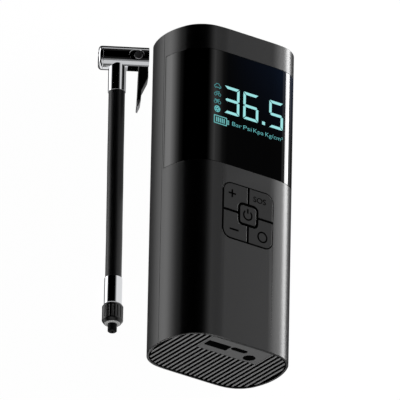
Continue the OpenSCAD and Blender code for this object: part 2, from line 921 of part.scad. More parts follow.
module piston() {
    skirt_r = bore_r - fit - skirt_t;
    groove = [piston_to - crown_t - seal_w, piston_to - crown_t] - [0.2, 0.2];
    color(alloy) {
        difference() {
            rod_l(cylinder_x, [piston_from, piston_to], pump_z, bore_r - fit);
            rod_l(cylinder_x, [piston_from - e, piston_to - crown_t], pump_z, skirt_r);
            difference() {
                rod_l(cylinder_x, groove, pump_z, bore_r + 1);
                rod_l(cylinder_x, [groove[0] - 1, groove[1] + 1], pump_z, bore_r - 1);
            }
        }
        difference() {
            intersection() {
                rod_l(cylinder_x, about(wrist_at, 3), pump_z, skirt_r + 0.2);
                for (side = [-1, 1])
                    block(about(cylinder_x + side * (wrist_pin_half + 0.3 + 5), 5), about(wrist_at, 3),
                          about(pump_z, 3));
            }
            rod_x(about(cylinder_x, bore_r), wrist_at, pump_z, wrist_pin_r);
        }
    }
}

module piston_seal() {
    color(rubber_black) difference() {
        rod_l(cylinder_x, [piston_to - crown_t - seal_w, piston_to - crown_t] - [0.2, 0.2], pump_z,
              bore_r - 0.03);
        rod_l(cylinder_x, [piston_from, piston_to], pump_z, bore_r - 1);
    }
}

module cylinder_body() {
    outer_r = bore_r + cylinder_wall;
    fin_pitch = 4;
    color(alloy) difference() {
        rod_l(cylinder_x, [cylinder_from, head_from], pump_z, outer_r);
        for (l = [cylinder_from + 5 : fin_pitch : head_from - 4])
            difference() {
                rod_l(cylinder_x, [l, l + 2], pump_z, outer_r + 1);
                rod_l(cylinder_x, [l - 1, l + 3], pump_z, outer_r - 0.9);
            }
        rod_l(cylinder_x, [cylinder_from - e, head_from + e], pump_z, bore_r);
    }
}

module valve_plate() {
    color(steel) difference() {
        rod_l(cylinder_x, past(head_from, 0, valve_plate_t), pump_z, bore_r + cylinder_wall);
        for (i = [0 : 3])
            rod_l(cylinder_x + 2.2 * cos(90 * i), past(head_from, -e, valve_plate_t + e),
                  pump_z + 2.2 * sin(90 * i), 0.7);
    }
}

module valve_flap() {
    color(rubber_black)
        rod_l(cylinder_x, past(head_from + valve_plate_t, 0, 0.5), pump_z, 3.6);
}

module cylinder_head() {
    outer_r = bore_r + cylinder_wall;
    color(alloy) difference() {
        union() {
            rod_l(cylinder_x, past(head_from, valve_plate_t, head_l), pump_z, outer_r);
            rod_z(cylinder_x, tube_at, [pump_z, pump_z + outer_r + 3.5], tube_bore_r);
        }
        rod_l(cylinder_x, past(head_from, 0, head_l - 2), pump_z, bore_r - 1.5);
        rod_z(cylinder_x, tube_at, [pump_z, pump_z + outer_r + 4], 0.6);
    }
}

// One steel plate holds the motor, the crank bearing and the cylinder in line.
module pump_frame() {
    lug_t = 3;
    z_half = 12;
    behind_crank = 9;
    face = [motor_face_x, motor_face_x + frame_plate_t];
    color(steel) difference() {
        union() {
            block(face, [crank_at - behind_crank, head_from], about(pump_z, z_half));
            for (side = [-1, 1])
                block([motor_face_x, cylinder_x], [cylinder_from + 1, cylinder_from + 4],
                      about(pump_z + side * (z_half - lug_t / 2), lug_t / 2));
        }
        rod_l(cylinder_x, [cylinder_from - 2, head_from + e], pump_z, bore_r + cylinder_wall);
        rod_x([motor_face_x - e, motor_face_x + 4], motor_at, pump_z, motor_boss_r + fit);
        rod_x([motor_face_x - e, motor_face_x + 4], crank_at, pump_z, crank_shaft_r + 1.1);
        for (z = [-motor_screw_z, motor_screw_z])
            rod_x([motor_face_x - e, motor_face_x + 4], motor_at, pump_z + z, motor_screw_r + fit);
    }
}

// ---- Screws ----

module case_screws() {
    color(steel) at_screws() {
        difference() {
            translate([0, 0, screw_sink]) cylinder(r = screw_head_r, h = screw_head_h);
            translate([0, 0, screw_sink - e]) cylinder(r = 1.1, h = e + 0.9, $fn = 6);
        }
        translate([0, 0, screw_sink + screw_head_h])
            cylinder(r = screw_shank_r, h = seam_z + screw_bite - screw_sink - screw_head_h);
    }
}

module board_screws() {
    color(steel)
        for (x = [-pillar_x, pillar_x], l = pillar_at) {
            rod_z(x, l, [board_z - 1.2, board_z], 1.9);
            rod_z(x, l, [board_z, board_top + 3.5], 0.75);
        }
}

module motor_screws() {
    color(steel)
        for (z = [-motor_screw_z, motor_screw_z]) {
            rod_x(past(motor_face_x + frame_plate_t, 0, 1.3), motor_at, pump_z + z, 1.9);
            rod_x(past(motor_face_x, -1.8, frame_plate_t), motor_at, pump_z + z, motor_screw_r);
        }
}

// ---- Hose ----

// The loose hose lies beside the body. Its route, from the chuck to the connector.
hose_route = [
    [-52.6, 52, 9.3], [-52.55, 45, 9.27], [-52.45, 38, 9.17], [-52.3, 31, 9], [-52.1, 24, 8.7],
    [-51.8, 17, 8.3], [-51.45, 10, 7.85], [-51.05, 3, 7.4], [-50.7, -4, 6.9], [-50.3, -11, 6.4],
    [-50, -18, 6], [-49.7, -25, 5.7], [-49.5, -32, 5.4], [-49.4, -39.5, 5.25], [-49.3, -47.05, 5.2]
];
hose_sides = 12;
hose_top = hose_route[0];
hose_end = hose_route[len(hose_route) - 1];
ferrule_mouth = 1;

function unit(v) = v / norm(v);
function hose_heading(i) =
    i == 0 || i == len(hose_route) - 1 ? [0, -1, 0] : unit(hose_route[i + 1] - hose_route[i - 1]);
function hose_ring(i) =
    let (ahead = hose_heading(i), side = unit(cross(ahead, [0, 0, 1])), up = cross(side, ahead))
        [for (k = [0 : hose_sides - 1])
            let (turn = 360 * k / hose_sides)
                hose_route[i] + hose_d / 2 * (cos(turn) * side + sin(turn) * up)];

module hose() {
    rings = len(hose_route);
    n = hose_sides;
    color(rubber_black) polyhedron(
        points = [for (i = [0 : rings - 1]) each hose_ring(i)],
        faces = [
            [for (k = [0 : n - 1]) k],
            for (i = [0 : rings - 2], k = [0 : n - 1])
                let (a = i * n + k, b = i * n + (k + 1) % n)
                    each [[a, a + n, b + n], [a, b + n, b]],
            [for (k = [n - 1 : -1 : 0]) (rings - 1) * n + k]
        ]
    );
}

// Places children on the connector's axis, with +Z running towards the nipple's tip.
module at_connector() {
    translate(hose_end) rotate([90, 0, 0]) children();
}

module lower_ferrule() {
    from = -ferrule_mouth;
    color(chrome) at_connector() difference() {
        union() {
            translate([0, 0, from]) cylinder(d = ferrule_d, h = ferrule_l);
            cylinder(d = sleeve_d, h = sleeve_l);
        }
        translate([0, 0, from - e]) cylinder(d = hose_d + 2 * slip, h = ferrule_mouth + e);
        translate([0, 0, from]) cylinder(d = sleeve_bore, h = ferrule_l + nut_l + e);
    }
}

nut_at = ferrule_l - ferrule_mouth + 0.2;
nut_top_bevel = 1;
nut_nose = 1.5;
nose_r = nut_d / 2 - 1.05;
washer_r = nose_r - 0.25;
washer_t = 0.6;
sleeve_d = nipple_d + 2;
sleeve_l = ferrule_l + nut_l - 4 - ferrule_mouth;
sleeve_bore = 1.6;
nipple_collar = 1.4;
nipple_root = 3.6;

// The knurled nut, turned and then fluted all round.
module connector_nut() {
    flutes = 16;
    color(frame_black) at_connector() translate([0, 0, nut_at]) difference() {
        union() {
            cylinder(d1 = ferrule_d + 0.2, d2 = nut_d, h = nut_top_bevel);
            translate([0, 0, nut_top_bevel])
                cylinder(d = nut_d, h = nut_l - nut_top_bevel - nut_nose);
            translate([0, 0, nut_l - nut_nose]) cylinder(d1 = nut_d, r2 = nose_r, h = nut_nose);
        }
        for (i = [0 : flutes - 1])
            rotate([0, 0, 360 * (i + 0.5) / flutes])
                translate([nut_d / 2 + 0.25, 0, nut_top_bevel + 0.6])
                    cylinder(r = 0.5, h = nut_l - nut_top_bevel - nut_nose - 1.2, $fn = 24);
        translate([0, 0, -e]) cylinder(d = sleeve_d + 2 * fit, h = nut_l - 4 + e);
        cylinder(d = nipple_d + nipple_collar, h = nut_l + e);
        translate([0, 0, nut_l - washer_t]) cylinder(r = washer_r, h = washer_t + e);
    }
}

module face_washer() {
    color(clear_white) at_connector() translate([0, 0, nut_at + nut_l - washer_t]) difference() {
        cylinder(r = washer_r, h = washer_t);
        translate([0, 0, -e]) cylinder(d = nipple_d + nipple_collar, h = washer_t + 2 * e);
    }
}

// A collar inside the nut, a relief groove at the washer, and the threaded shank.
module nipple() {
    bevel = 0.4;
    relief_l = 0.3;
    relief_d = nipple_d - 0.8;
    face = nut_at + nut_l;
    shank_l = nipple_out - relief_l - bevel;
    color(frame_black) at_connector() difference() {
        union() {
            translate([0, 0, face - nipple_root]) cylinder(d = nipple_d + nipple_collar, h = nipple_root);
            translate([0, 0, face]) cylinder(d = relief_d, h = relief_l);
            translate([0, 0, face + relief_l]) cylinder(d = nipple_d, h = shank_l);
            translate([0, 0, face + relief_l + shank_l])
                cylinder(d1 = nipple_d, d2 = nipple_d - 2 * bevel, h = bevel);
        }
        translate([0, 0, nut_at]) cylinder(d = sleeve_bore, h = nut_l + nipple_out + e);
    }
}

// ---- Chuck ----

// The chuck's own frame: +X along the crossbar to the lever, +Y away from the hose,
// +Z through the lever's pin.
chuck_stem_l = 17.25;
chuck_y = hose_top[1] + chuck_stem_l;

module at_chuck() {
    translate([hose_top[0], chuck_y, hose_top[2]]) rotate([0, -chuck_lean, 0]) children();
}

module bar(u, r, v = 0) {
    translate([u[0], v, 0]) rotate([0, 90, 0]) cylinder(r = r, h = u[1] - u[0]);
}

chuck_r = chuck_d / 2;
mouth_r = mouth_d / 2;
cap_skirt_l = 4.5;
cap_skirt_t = 0.9;
cap_u = -mouth_l;
body_u = cap_u + cap_l;
skirt_u = body_u + cap_skirt_l;
seal_l = 2;
plunger_r = 2.4;
spigot_r = 2.2;

// The lever's cam is a disc off its pivot. Its reach grows by plunger_lift in a quarter turn.
cam_off = plunger_lift / sqrt(2);
cam_r = 3.56;
cam_rest = cam_r - cam_off * cos(45);
cam_full = cam_r + cam_off * sin(45);
pin_r = 1.25;
slot_half = 3;
slot_u = pivot_u - cam_full - 0.35;
lever_slip = 0.2;

// The lever's wide grip starts where it clears the crossbar's cheeks at every angle.
grip_from = norm([tail_l - pivot_u, sqrt(pow(chuck_r, 2) - pow(slot_half, 2))]) + 0.25;

module upper_ferrule() {
    reach = chuck_y - hose_top[1] + ferrule_mouth;
    color(chrome) at_chuck() difference() {
        rotate([90, 0, 0]) cylinder(d = ferrule_d, h = reach);
        bar([-chuck_d, chuck_d], chuck_r);
        translate([0, -reach + ferrule_mouth, 0]) rotate([90, 0, 0])
            cylinder(d = hose_d + 2 * slip, h = ferrule_mouth + e);
        rotate([90, 0, 0]) cylinder(r = spigot_r, h = reach);
    }
}

module chuck_body() {
    pocket_d = 5.6;
    color(chrome) at_chuck() difference() {
        union() {
            bar([body_u, tail_l], chuck_r);
            rotate([90, 0, 0]) cylinder(r = spigot_r - 0.01, h = chuck_y - hose_top[1]);
        }
        bar([body_u - e, skirt_u + seal_l], mouth_r + cap_skirt_t + fit);
        bar([skirt_u, slot_u + e], plunger_r + fit);
        translate([slot_u, -chuck_d, -slot_half]) cube([chuck_d * 2, 2 * chuck_d, 2 * slot_half]);
        translate([pivot_u, 0, -chuck_d]) cylinder(r = pin_r + 0.01, h = 2 * chuck_d);
        translate([pivot_u, 0, chuck_r - 1.2]) cylinder(d = pocket_d, h = chuck_r);
        translate([pivot_u - 1.6, 0, chuck_r - 1.2]) cylinder(d = pocket_d, h = chuck_r);
        translate([0, -plunger_r, 0]) rotate([90, 0, 0])
            cylinder(r = 1.1, h = chuck_y - hose_top[1] + e);
    }
}

// Turned in one piece: the rounded cap and the skirt that screws into the crossbar.
module chuck_cap() {
    round_r = 1.7;
    color(chrome) at_chuck() rotate([0, -90, 0]) rotate_extrude()
        difference() {
            union() {
                translate([0, -skirt_u]) square([mouth_r + cap_skirt_t, cap_skirt_l]);
                translate([0, -body_u]) square([chuck_r - round_r, cap_l]);
                translate([0, -body_u]) square([chuck_r, cap_l - round_r]);
                translate([chuck_r - round_r, mouth_l - round_r]) intersection() {
                    circle(round_r);
                    square(round_r);
                }
            }
            translate([-e, -skirt_u - e]) square([mouth_r + e, mouth_l + skirt_u + 2 * e]);
        }
}

module chuck_seal() {
    color(rubber_black) at_chuck() difference() {
        bar([skirt_u, skirt_u + seal_l], mouth_r + cap_skirt_t);
        bar([skirt_u - e, skirt_u + seal_l + e], plunger_r - 0.5);
    }
}

// The plunger's front pin opens the tyre valve; the cam pushes on its back.
module chuck_plunger() {
    back = pivot_u - cam_rest - slip;
    pin_from = skirt_u + 0.1;
    collar_from = skirt_u + seal_l + plunger_lift + 0.3;
    color(steel) at_chuck() {
        bar([collar_from, back], plunger_r);
        bar([pin_from, back - 1], 0.9);
    }
}

module lever_pin() {
    head_h = 0.7;
    color(steel) at_chuck() {
        translate([pivot_u, 0, -chuck_r + 1]) cylinder(r = pin_r, h = 2 * chuck_r - 2.2);
        translate([pivot_u, 0, chuck_r - 1.2]) cylinder(r = 2, h = head_h);
    }
}

// Side outline of the lever about its pivot: a thick root that tapers to a curled-in tip.
module lever_arm_outline() {
    root = 0.5;
    polygon([
        [root, -1],
        [root + lever_t, -1],
        [root + lever_t, -lever_l * 0.41],
        [root + 1.5, -lever_l * 0.67],
        [root + 1.2, -lever_l * 0.88],
        [root - 0.1, -lever_l],
        [root - 0.8, -lever_l * 0.98],
        [root - 0.4, -lever_l * 0.67]
    ]);
}

module chuck_lever() {
    root_half = slot_half - lever_slip;
    color(frame_black) at_chuck() translate([pivot_u, 0, 0]) difference() {
        union() {
            translate([0, 0, -root_half]) linear_extrude(height = 2 * root_half) lever_arm_outline();
            translate([cam_off * cos(45), cam_off * sin(45), -root_half]) cylinder(r = cam_r, h = 2 * root_half);
            translate([0, 0, -lever_w / 2]) intersection() {
                linear_extrude(height = lever_w) lever_arm_outline();
                translate([-chuck_r, -2 * lever_l - grip_from, 0]) cube([4 * chuck_r, 2 * lever_l, lever_w]);
            }
        }
        translate([0, 0, -chuck_r]) cylinder(r = pin_r + fit, h = chuck_d);
    }
}

front_shell();
rear_shell();
base_grille();
port_plate();
top_cap();
lamp_lens();
lamp_board();
display_lens();
display_module();
button_frame();
button_plus();
button_light();
button_minus();
button_mode();
button_power();
tact_switches();
main_board();
port_board();
usb_a_socket();
usb_c_socket();
outlet_bush();
air_tube();
battery_cells();
battery_holder();
cell_links();
motor_can();
motor_magnets();
motor_rotor();
pinion();
crank_gear();
crank_shaft();
crank_pin();
crank_bearing();
connecting_rod();
wrist_pin();
piston();
piston_seal();
cylinder_body();  // cylinder
valve_plate();
valve_flap();
cylinder_head();
pump_frame();
case_screws();
board_screws();
motor_screws();
hose();
upper_ferrule();
lower_ferrule();
chuck_body();
chuck_cap();
chuck_seal();
chuck_plunger();
chuck_lever();
lever_pin();
connector_nut();
nipple();
face_washer();
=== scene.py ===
# %% [markdown]
# # A cordless tire inflator and its hose
# The inflator is a tube of dark satin plastic with tight corners and bulging sides. A deep gloss
# band with a lit display goes over its front, five keys share one square pad, and the near end is
# a ribbed grille with a smooth plate for the ports. A short rubber hose lies beside it, with a
# chromed lever chuck on one end and a knurled nut on the other. The shapes come from the CAD
# model. This lesson gives them soft edges, finishes, a lit display, printed legends and light.

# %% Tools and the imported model
import json
import math

import bmesh
import bpy
from mathutils import Matrix, Vector
from mathutils.bvhtree import BVHTree

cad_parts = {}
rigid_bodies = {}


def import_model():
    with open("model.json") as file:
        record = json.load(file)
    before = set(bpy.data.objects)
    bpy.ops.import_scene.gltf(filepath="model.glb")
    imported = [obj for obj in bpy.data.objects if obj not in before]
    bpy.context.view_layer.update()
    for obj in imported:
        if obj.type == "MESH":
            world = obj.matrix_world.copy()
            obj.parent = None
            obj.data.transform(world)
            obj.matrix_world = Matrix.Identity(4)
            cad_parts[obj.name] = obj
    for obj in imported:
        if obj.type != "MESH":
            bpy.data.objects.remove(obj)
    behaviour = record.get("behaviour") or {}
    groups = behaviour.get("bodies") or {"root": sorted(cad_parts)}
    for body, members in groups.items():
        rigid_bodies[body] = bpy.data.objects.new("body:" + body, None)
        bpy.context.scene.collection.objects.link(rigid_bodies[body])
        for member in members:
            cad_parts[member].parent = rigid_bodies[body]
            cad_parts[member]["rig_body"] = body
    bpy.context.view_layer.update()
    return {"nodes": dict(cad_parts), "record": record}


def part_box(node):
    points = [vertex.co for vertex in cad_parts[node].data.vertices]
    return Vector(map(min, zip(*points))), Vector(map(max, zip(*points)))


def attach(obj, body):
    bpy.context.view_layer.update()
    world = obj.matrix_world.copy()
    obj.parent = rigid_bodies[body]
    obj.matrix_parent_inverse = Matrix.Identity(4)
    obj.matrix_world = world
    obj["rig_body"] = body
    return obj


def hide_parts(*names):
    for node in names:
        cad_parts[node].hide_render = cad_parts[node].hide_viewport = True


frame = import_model()
MM = 0.001
scene = bpy.context.scene
print("CAD nodes:", len(frame["nodes"]))

# %% [markdown]
# ## Measures
# Everything printed or lit on the front is placed by its distance across the body, x, and its
# distance from the ported end, l. Both are in millimetres. The front's height and the ported
# end's place are read from the front shell, so the details follow the CAD model.

# %% Places on the body
shell_low, shell_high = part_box("front_shell")
front_z = shell_high.z
ported_y = shell_low.y
body_centre = Vector((0, 0, front_z / 2))


def on_front(x, l):
    """The point at x and l on the front, both in millimetres."""
    return Vector((x * MM, ported_y + l * MM, front_z))


print("front at", round(front_z / MM, 2), "mm, ported end at", round(ported_y / MM, 2), "mm")

# %% [markdown]
# ## Camera
# The portrait is a flat, far view, as a catalogue has it: a very long lens from eight metres away
# keeps all edges along the body parallel. A camera can be aimed by a constraint, but measured
# angles give the same view each time. The turn round the body, the tilt and the slight roll give
# three unit vectors, which are the columns of the camera's rotation.

# %% Camera
camera_turn = math.radians(34.489)
camera_tilt = math.radians(25.431)
camera_roll = math.radians(1.1746)
lens_mm = 1500
sensor_mm = 36
picture_width = 193.24 * MM
centre_right_of_body = -9.93 * MM
centre_above_body = 2.96 * MM

backward = Vector((
    -math.sin(camera_turn) * math.cos(camera_tilt),
    -math.sin(camera_tilt),
    math.cos(camera_turn) * math.cos(camera_tilt),
))
level_right = Vector((math.cos(camera_turn), 0, math.sin(camera_turn)))
level_up = backward.cross(level_right)
right = level_right * math.cos(camera_roll) + level_up * math.sin(camera_roll)
up = level_up * math.cos(camera_roll) - level_right * math.sin(camera_roll)
aim = body_centre + right * centre_right_of_body + up * centre_above_body

camera_data = bpy.data.cameras.new("portrait_camera")
camera_data.sensor_width = sensor_mm
camera_data.lens = lens_mm
camera = bpy.data.objects.new("portrait_camera", camera_data)
scene.collection.objects.link(camera)
camera.matrix_world = Matrix.Translation(
    aim + backward * picture_width * lens_mm / sensor_mm
) @ Matrix((right, up, backward)).transposed().to_4x4()
scene.camera = camera
print("camera", round((camera.matrix_world.translation - aim).length, 2), "m from its aim")

# %% [markdown]
# ## World
# The ground of a catalogue picture is plain white, but a white world would wash out every gloss.
# One world can be both: the Light Path node tells the camera's rays from all others, so the
# camera sees white while the object stands in near darkness, ready for its own lamps.

# %% World
white_grey, dark_grey = 1.0, 0.01

world = bpy.data.worlds.new("studio")
scene.world = world
world.use_nodes = True
world_nodes, world_links = world.node_tree.nodes, world.node_tree.links
world_nodes.clear()
world_out = world_nodes.new("ShaderNodeOutputWorld")
world_mix = world_nodes.new("ShaderNodeMixShader")
light_path = world_nodes.new("ShaderNodeLightPath")
world_links.new(light_path.outputs["Is Camera Ray"], world_mix.inputs["Fac"])
for socket, grey in ((1, dark_grey), (2, white_grey)):
    background = world_nodes.new("ShaderNodeBackground")
    background.inputs["Color"].default_value = (grey, grey, grey, 1)
    world_links.new(background.outputs["Background"], world_mix.inputs[socket])
world_links.new(world_mix.outputs["Shader"], world_out.inputs["Surface"])
scene.view_settings.view_transform = "Standard"
print("world:", white_grey, "to the camera,", dark_grey, "to the rest")

# %% [markdown]
# ## Floor
# The floor has to look as white as the world and still take a faint shadow. A studio lights such
# a sweep from all sides. Here a glow is added to a dark matt paint: the glow makes it white, and
# the matt part lets the object sit in its own shade. Only the camera sees the floor, so it adds
# no light or reflection from below.

# %% Helpers for the set
def stage_piece(name, shape, paint):
    """Turns a bmesh into a part of the set."""
    mesh = bpy.data.meshes.new(name)
    shape.to_mesh(mesh)
    shape.free()
    mesh.materials.append(paint)
    piece = bpy.data.objects.new(name, mesh)
    scene.collection.objects.link(piece)
    return piece


def glow_paint(name, strength):
    """A plain glowing paint. Returns it with its emission node."""
    paint = bpy.data.materials.new(name)
    paint.use_nodes = True
    nodes, links = paint.node_tree.nodes, paint.node_tree.links
    nodes.clear()
    out = nodes.new("ShaderNodeOutputMaterial")
    glow = nodes.new("ShaderNodeEmission")
    glow.inputs["Strength"].default_value = strength
    links.new(glow.outputs[0], out.inputs["Surface"])
    paint.cycles.emission_sampling = "NONE"
    return paint, glow


def card_shape(width, height, turn, centre):
    """A flat rectangle, turned by a 3 by 3 matrix and then moved to its centre."""
    shape = bmesh.new()
    bmesh.ops.create_grid(shape, x_segments=1, y_segments=1, size=0.5)
    bmesh.ops.scale(shape, verts=shape.verts, vec=(width, height, 1))
    bmesh.ops.transform(shape, verts=shape.verts,
                        matrix=Matrix.Translation(centre) @ turn.to_4x4())
    return shape


# %% Floor
floor_width = 1.8
floor_drop = 0.05 * MM
floor_glow = 0.988
floor_albedo = 0.06

floor_paint, floor_glows = glow_paint("floor_paint", floor_glow)
floor_nodes, floor_links = floor_paint.node_tree.nodes, floor_paint.node_tree.links
floor_lit = floor_nodes.new("ShaderNodeBsdfDiffuse")
floor_lit.inputs["Color"].default_value = (floor_albedo, floor_albedo, floor_albedo, 1)
floor_sum = floor_nodes.new("ShaderNodeAddShader")
floor_links.new(floor_glows.outputs[0], floor_sum.inputs[0])
floor_links.new(floor_lit.outputs[0], floor_sum.inputs[1])
floor_links.new(floor_sum.outputs[0], floor_nodes["Material Output"].inputs["Surface"])

floor = stage_piece("floor", card_shape(floor_width, floor_width, Matrix.Identity(3),
                                        (0, 0, -floor_drop)), floor_paint)
floor.visible_diffuse = False
floor.visible_glossy = False
print("floor", floor_width, "m wide")

# %% [markdown]
# ## Light tent
# The body is a long prism, so whatever stands round it is mirrored in straight stripes along it.
# A tent, a wide tube round the body's length, holds those stripes as one profile of brightness
# by bearing: 0 is straight out of the front, 90 is level on the right. From the camera, a place
# on the surface that faces a bearing of b mirrors the tent at twice b plus the camera's turn.
# A surrounding image could do the same, but numbers by bearing are easier to tune. The tent
# shows only in reflections. It also runs under the floor, as if the set were hung.

# %% The tent's stripes
tent_radius = 1.0
tent_from, tent_to = -0.12, 1.5
tent_steps = 180
tent_peak = 3.0
TENT_STRIPES = [
    (-180, 0.08), (-168, 0.2), (-160, 0.5), (-154, 0.95), (-148, 1.15), (-141, 1.6), (-134, 2.4),
    (-127, 2.7), (-120, 1.7), (-113, 0.6), (-107, 0.12), (-101, 0.0), (-14, 0.0), (-6, 0.1),
    (4, 0.5), (13, 0.85), (20, 0.55), (27, 0.1), (33, 0.03), (48, 0.03), (50, 0.3), (98, 0.3),
    (102, 0.05), (150, 0.03), (180, 0.08),
]


def grey_ramp(nodes, low, high, profile):
    """A colour ramp through (place, grey) pairs, whose places run from low to high."""
    ramp = nodes.new("ShaderNodeValToRGB")
    stops = ramp.color_ramp.elements
    while len(stops) < len(profile):
        stops.new(0.5)
    for stop, (place, grey) in zip(stops, profile):
        stop.position = (place - low) / (high - low)
    for stop, (place, grey) in zip(stops, profile):
        stop.color = (grey, grey, grey, 1)
    return ramp


def only_for_gloss(piece):
    """Lets a part of the set show in reflections alone."""
    piece.visible_camera = False
    piece.visible_diffuse = False
    piece.visible_transmission = False
    piece.visible_volume_scatter = False
    piece.visible_shadow = False


# %% Tent
tent_paint, tent_glow = glow_paint("tent_stripes", tent_peak)
tent_nodes, tent_links = tent_paint.node_tree.nodes, tent_paint.node_tree.links
tent_place = tent_nodes.new("ShaderNodeTexCoord")
tent_split = tent_nodes.new("ShaderNodeSeparateXYZ")
tent_height = tent_nodes.new("ShaderNodeMath")
tent_height.operation = "SUBTRACT"
tent_height.inputs[1].default_value = body_centre.z
tent_bearing = tent_nodes.new("ShaderNodeMath")
tent_bearing.operation = "ARCTAN2"
tent_turn = tent_nodes.new("ShaderNodeMapRange")
tent_turn.inputs["From Min"].default_value = -math.pi
tent_turn.inputs["From Max"].default_value = math.pi
tent_ramp = grey_ramp(tent_nodes, -180, 180, [(b, glow / tent_peak) for b, glow in TENT_STRIPES])
tent_links.new(tent_place.outputs["Object"], tent_split.inputs[0])
tent_links.new(tent_split.outputs["Z"], tent_height.inputs[0])
tent_links.new(tent_split.outputs["X"], tent_bearing.inputs[0])
tent_links.new(tent_height.outputs[0], tent_bearing.inputs[1])
tent_links.new(tent_bearing.outputs[0], tent_turn.inputs["Value"])
tent_links.new(tent_turn.outputs[0], tent_ramp.inputs["Fac"])
tent_links.new(tent_ramp.outputs["Color"], tent_glow.inputs["Color"])

tent_shape = bmesh.new()
tent_start = tent_shape.verts.new((0, tent_from, body_centre.z - tent_radius))
tent_end = tent_shape.verts.new((0, tent_to, body_centre.z - tent_radius))
tent_edge = tent_shape.edges.new((tent_start, tent_end))
bmesh.ops.spin(tent_shape, geom=[tent_start, tent_end, tent_edge], cent=body_centre,
               axis=(0, 1, 0), angle=math.tau, steps=tent_steps, use_merge=True)
only_for_gloss(stage_piece("light_tent", tent_shape, tent_paint))
print("tent stripes:", len(TENT_STRIPES))

# %% [markdown]
# ## Cards round the ends
# The tent is open at its ends, and chrome mirrors everything there as well. A studio fills such
# holes with white cards. One lies low before the ported end, one stands high before it with a
# wider, weaker glow round it, and one stands beyond the far end. They show only in reflections.

# %% Cards round the ends
near_place = (-0.42, -1.15, 0.62)


def gloss_card(name, centre, facing, width, height, strength):
    """A plain glowing card that shows only in reflections."""
    toward = (Vector(facing) - Vector(centre)).normalized()
    across = toward.cross(Vector((0, 0, 1)))
    if across.length < 0.01:
        across = Vector((1, 0, 0))
    across.normalize()
    turn = Matrix((across, toward.cross(across), toward)).transposed()
    only_for_gloss(stage_piece(name, card_shape(width, height, turn, centre),
                               glow_paint(name + "_paint", strength)[0]))
    print(name, width, "by", height, "m")


gloss_card("low_card", centre=(0.3, -0.6, -0.5), facing=(0.3, -0.6, 0), width=2.0, height=0.9,
           strength=0.85)
gloss_card("near_card", centre=near_place, facing=(0, 0, 0), width=1.3, height=0.72,
           strength=0.65)
gloss_card("near_glow", centre=(-0.43, -1.18, 0.635), facing=(0, 0, 0), width=1.7, height=1.4,
           strength=0.2)
gloss_card("far_card", centre=(0, 2.1, 0.1), facing=(0, 0, 0.02), width=1.0, height=0.5,
           strength=0.45)

# %% [markdown]
# ## Cards between the hose and the body
# Three narrow cards stand in the gap beside the body and brighten the right side of the hose's
# chrome. The body would mirror their backs, so these glow on one side only: the Backfacing output
# swaps the glow for a clear shader on the other.

# %% Cards between the hose and the body
side_x = -35.5


def side_card(name, y_range, z_range, strength):
    """A one-sided card that faces left, between places in millimetres."""
    paint, glow = glow_paint(name + "_paint", strength)
    nodes, links = paint.node_tree.nodes, paint.node_tree.links
    back = nodes.new("ShaderNodeNewGeometry")
    clear = nodes.new("ShaderNodeBsdfTransparent")
    mix = nodes.new("ShaderNodeMixShader")
    links.new(back.outputs["Backfacing"], mix.inputs["Fac"])
    links.new(glow.outputs[0], mix.inputs[1])
    links.new(clear.outputs[0], mix.inputs[2])
    links.new(mix.outputs[0], nodes["Material Output"].inputs["Surface"])
    centre = Vector((side_x, sum(y_range) / 2, sum(z_range) / 2)) * MM
    shape = card_shape((z_range[1] - z_range[0]) * MM, (y_range[1] - y_range[0]) * MM,
                       Matrix.Rotation(-math.pi / 2, 3, "Y"), centre)
    only_for_gloss(stage_piece(name, shape, paint))
    print(name, "from", y_range[0], "to", y_range[1], "mm")


side_card("low_side_card", y_range=(-85, 0), z_range=(-20, 60), strength=0.8)
side_card("hose_side_card", y_range=(0, 46), z_range=(-20, 60), strength=0.4)
side_card("high_side_card", y_range=(46, 82), z_range=(-10, 19), strength=0.32)

# %% [markdown]
# ## Lamps
# Upright strips of light stand level on the right. Together they edge the right side in white,
# give the flat front its even grey by grazing it, and leave the left side dark. The camera looks
# along the body, so each place mirrors the strips 0.43 m further along than it lies itself. There
# they step from a dim run to a bright one, so the edge is bright on the far half and fades
# towards the ported end. The soft strip stands a little behind the others, because lamps in one
# plane hide each other from a mirror. Last, one lamp stands before the ported end. Light linking,
# set later, plays the part of a studio's flags: the satin housing gets a wider highlight than
# the gloss band.

# %% Lamps
strip_distance, soft_distance = 0.9, 0.95
bright_run, dim_run, whole_run = (0.43, 0.8), (0.12, 0.43), (-0.6, 1.6)
gloss_bearings, shell_bearings, hose_bearings = (62, 85), (48, 62), (40, 88)


def area_lamp(name, place, turn, width, length, radiance):
    """A glowing rectangle that shines along its own -z, turned by a 3 by 3 matrix."""
    lamp_data = bpy.data.lights.new(name, "AREA")
    lamp_data.shape = "RECTANGLE"
    lamp_data.size, lamp_data.size_y = width, length
    lamp_data.energy = radiance * math.pi * width * length
    lamp = bpy.data.objects.new(name, lamp_data)
    scene.collection.objects.link(lamp)
    lamp.matrix_world = Matrix.Translation(place) @ turn.to_4x4()
    print(name, round(lamp_data.energy, 1), "W")
    return lamp


def strip_lamp(name, bearings, y_range, radiance, distance=strip_distance):
    """An upright strip on the right that faces left, between two bearings in degrees."""
    low, high = (body_centre.z + distance / math.tan(math.radians(b))
                 for b in sorted(bearings, reverse=True))
    return area_lamp(name, (distance, sum(y_range) / 2, (low + high) / 2),
                     Matrix(((0, 0, 1), (0, 1, 0), (-1, 0, 0))),
                     high - low, y_range[1] - y_range[0], radiance)


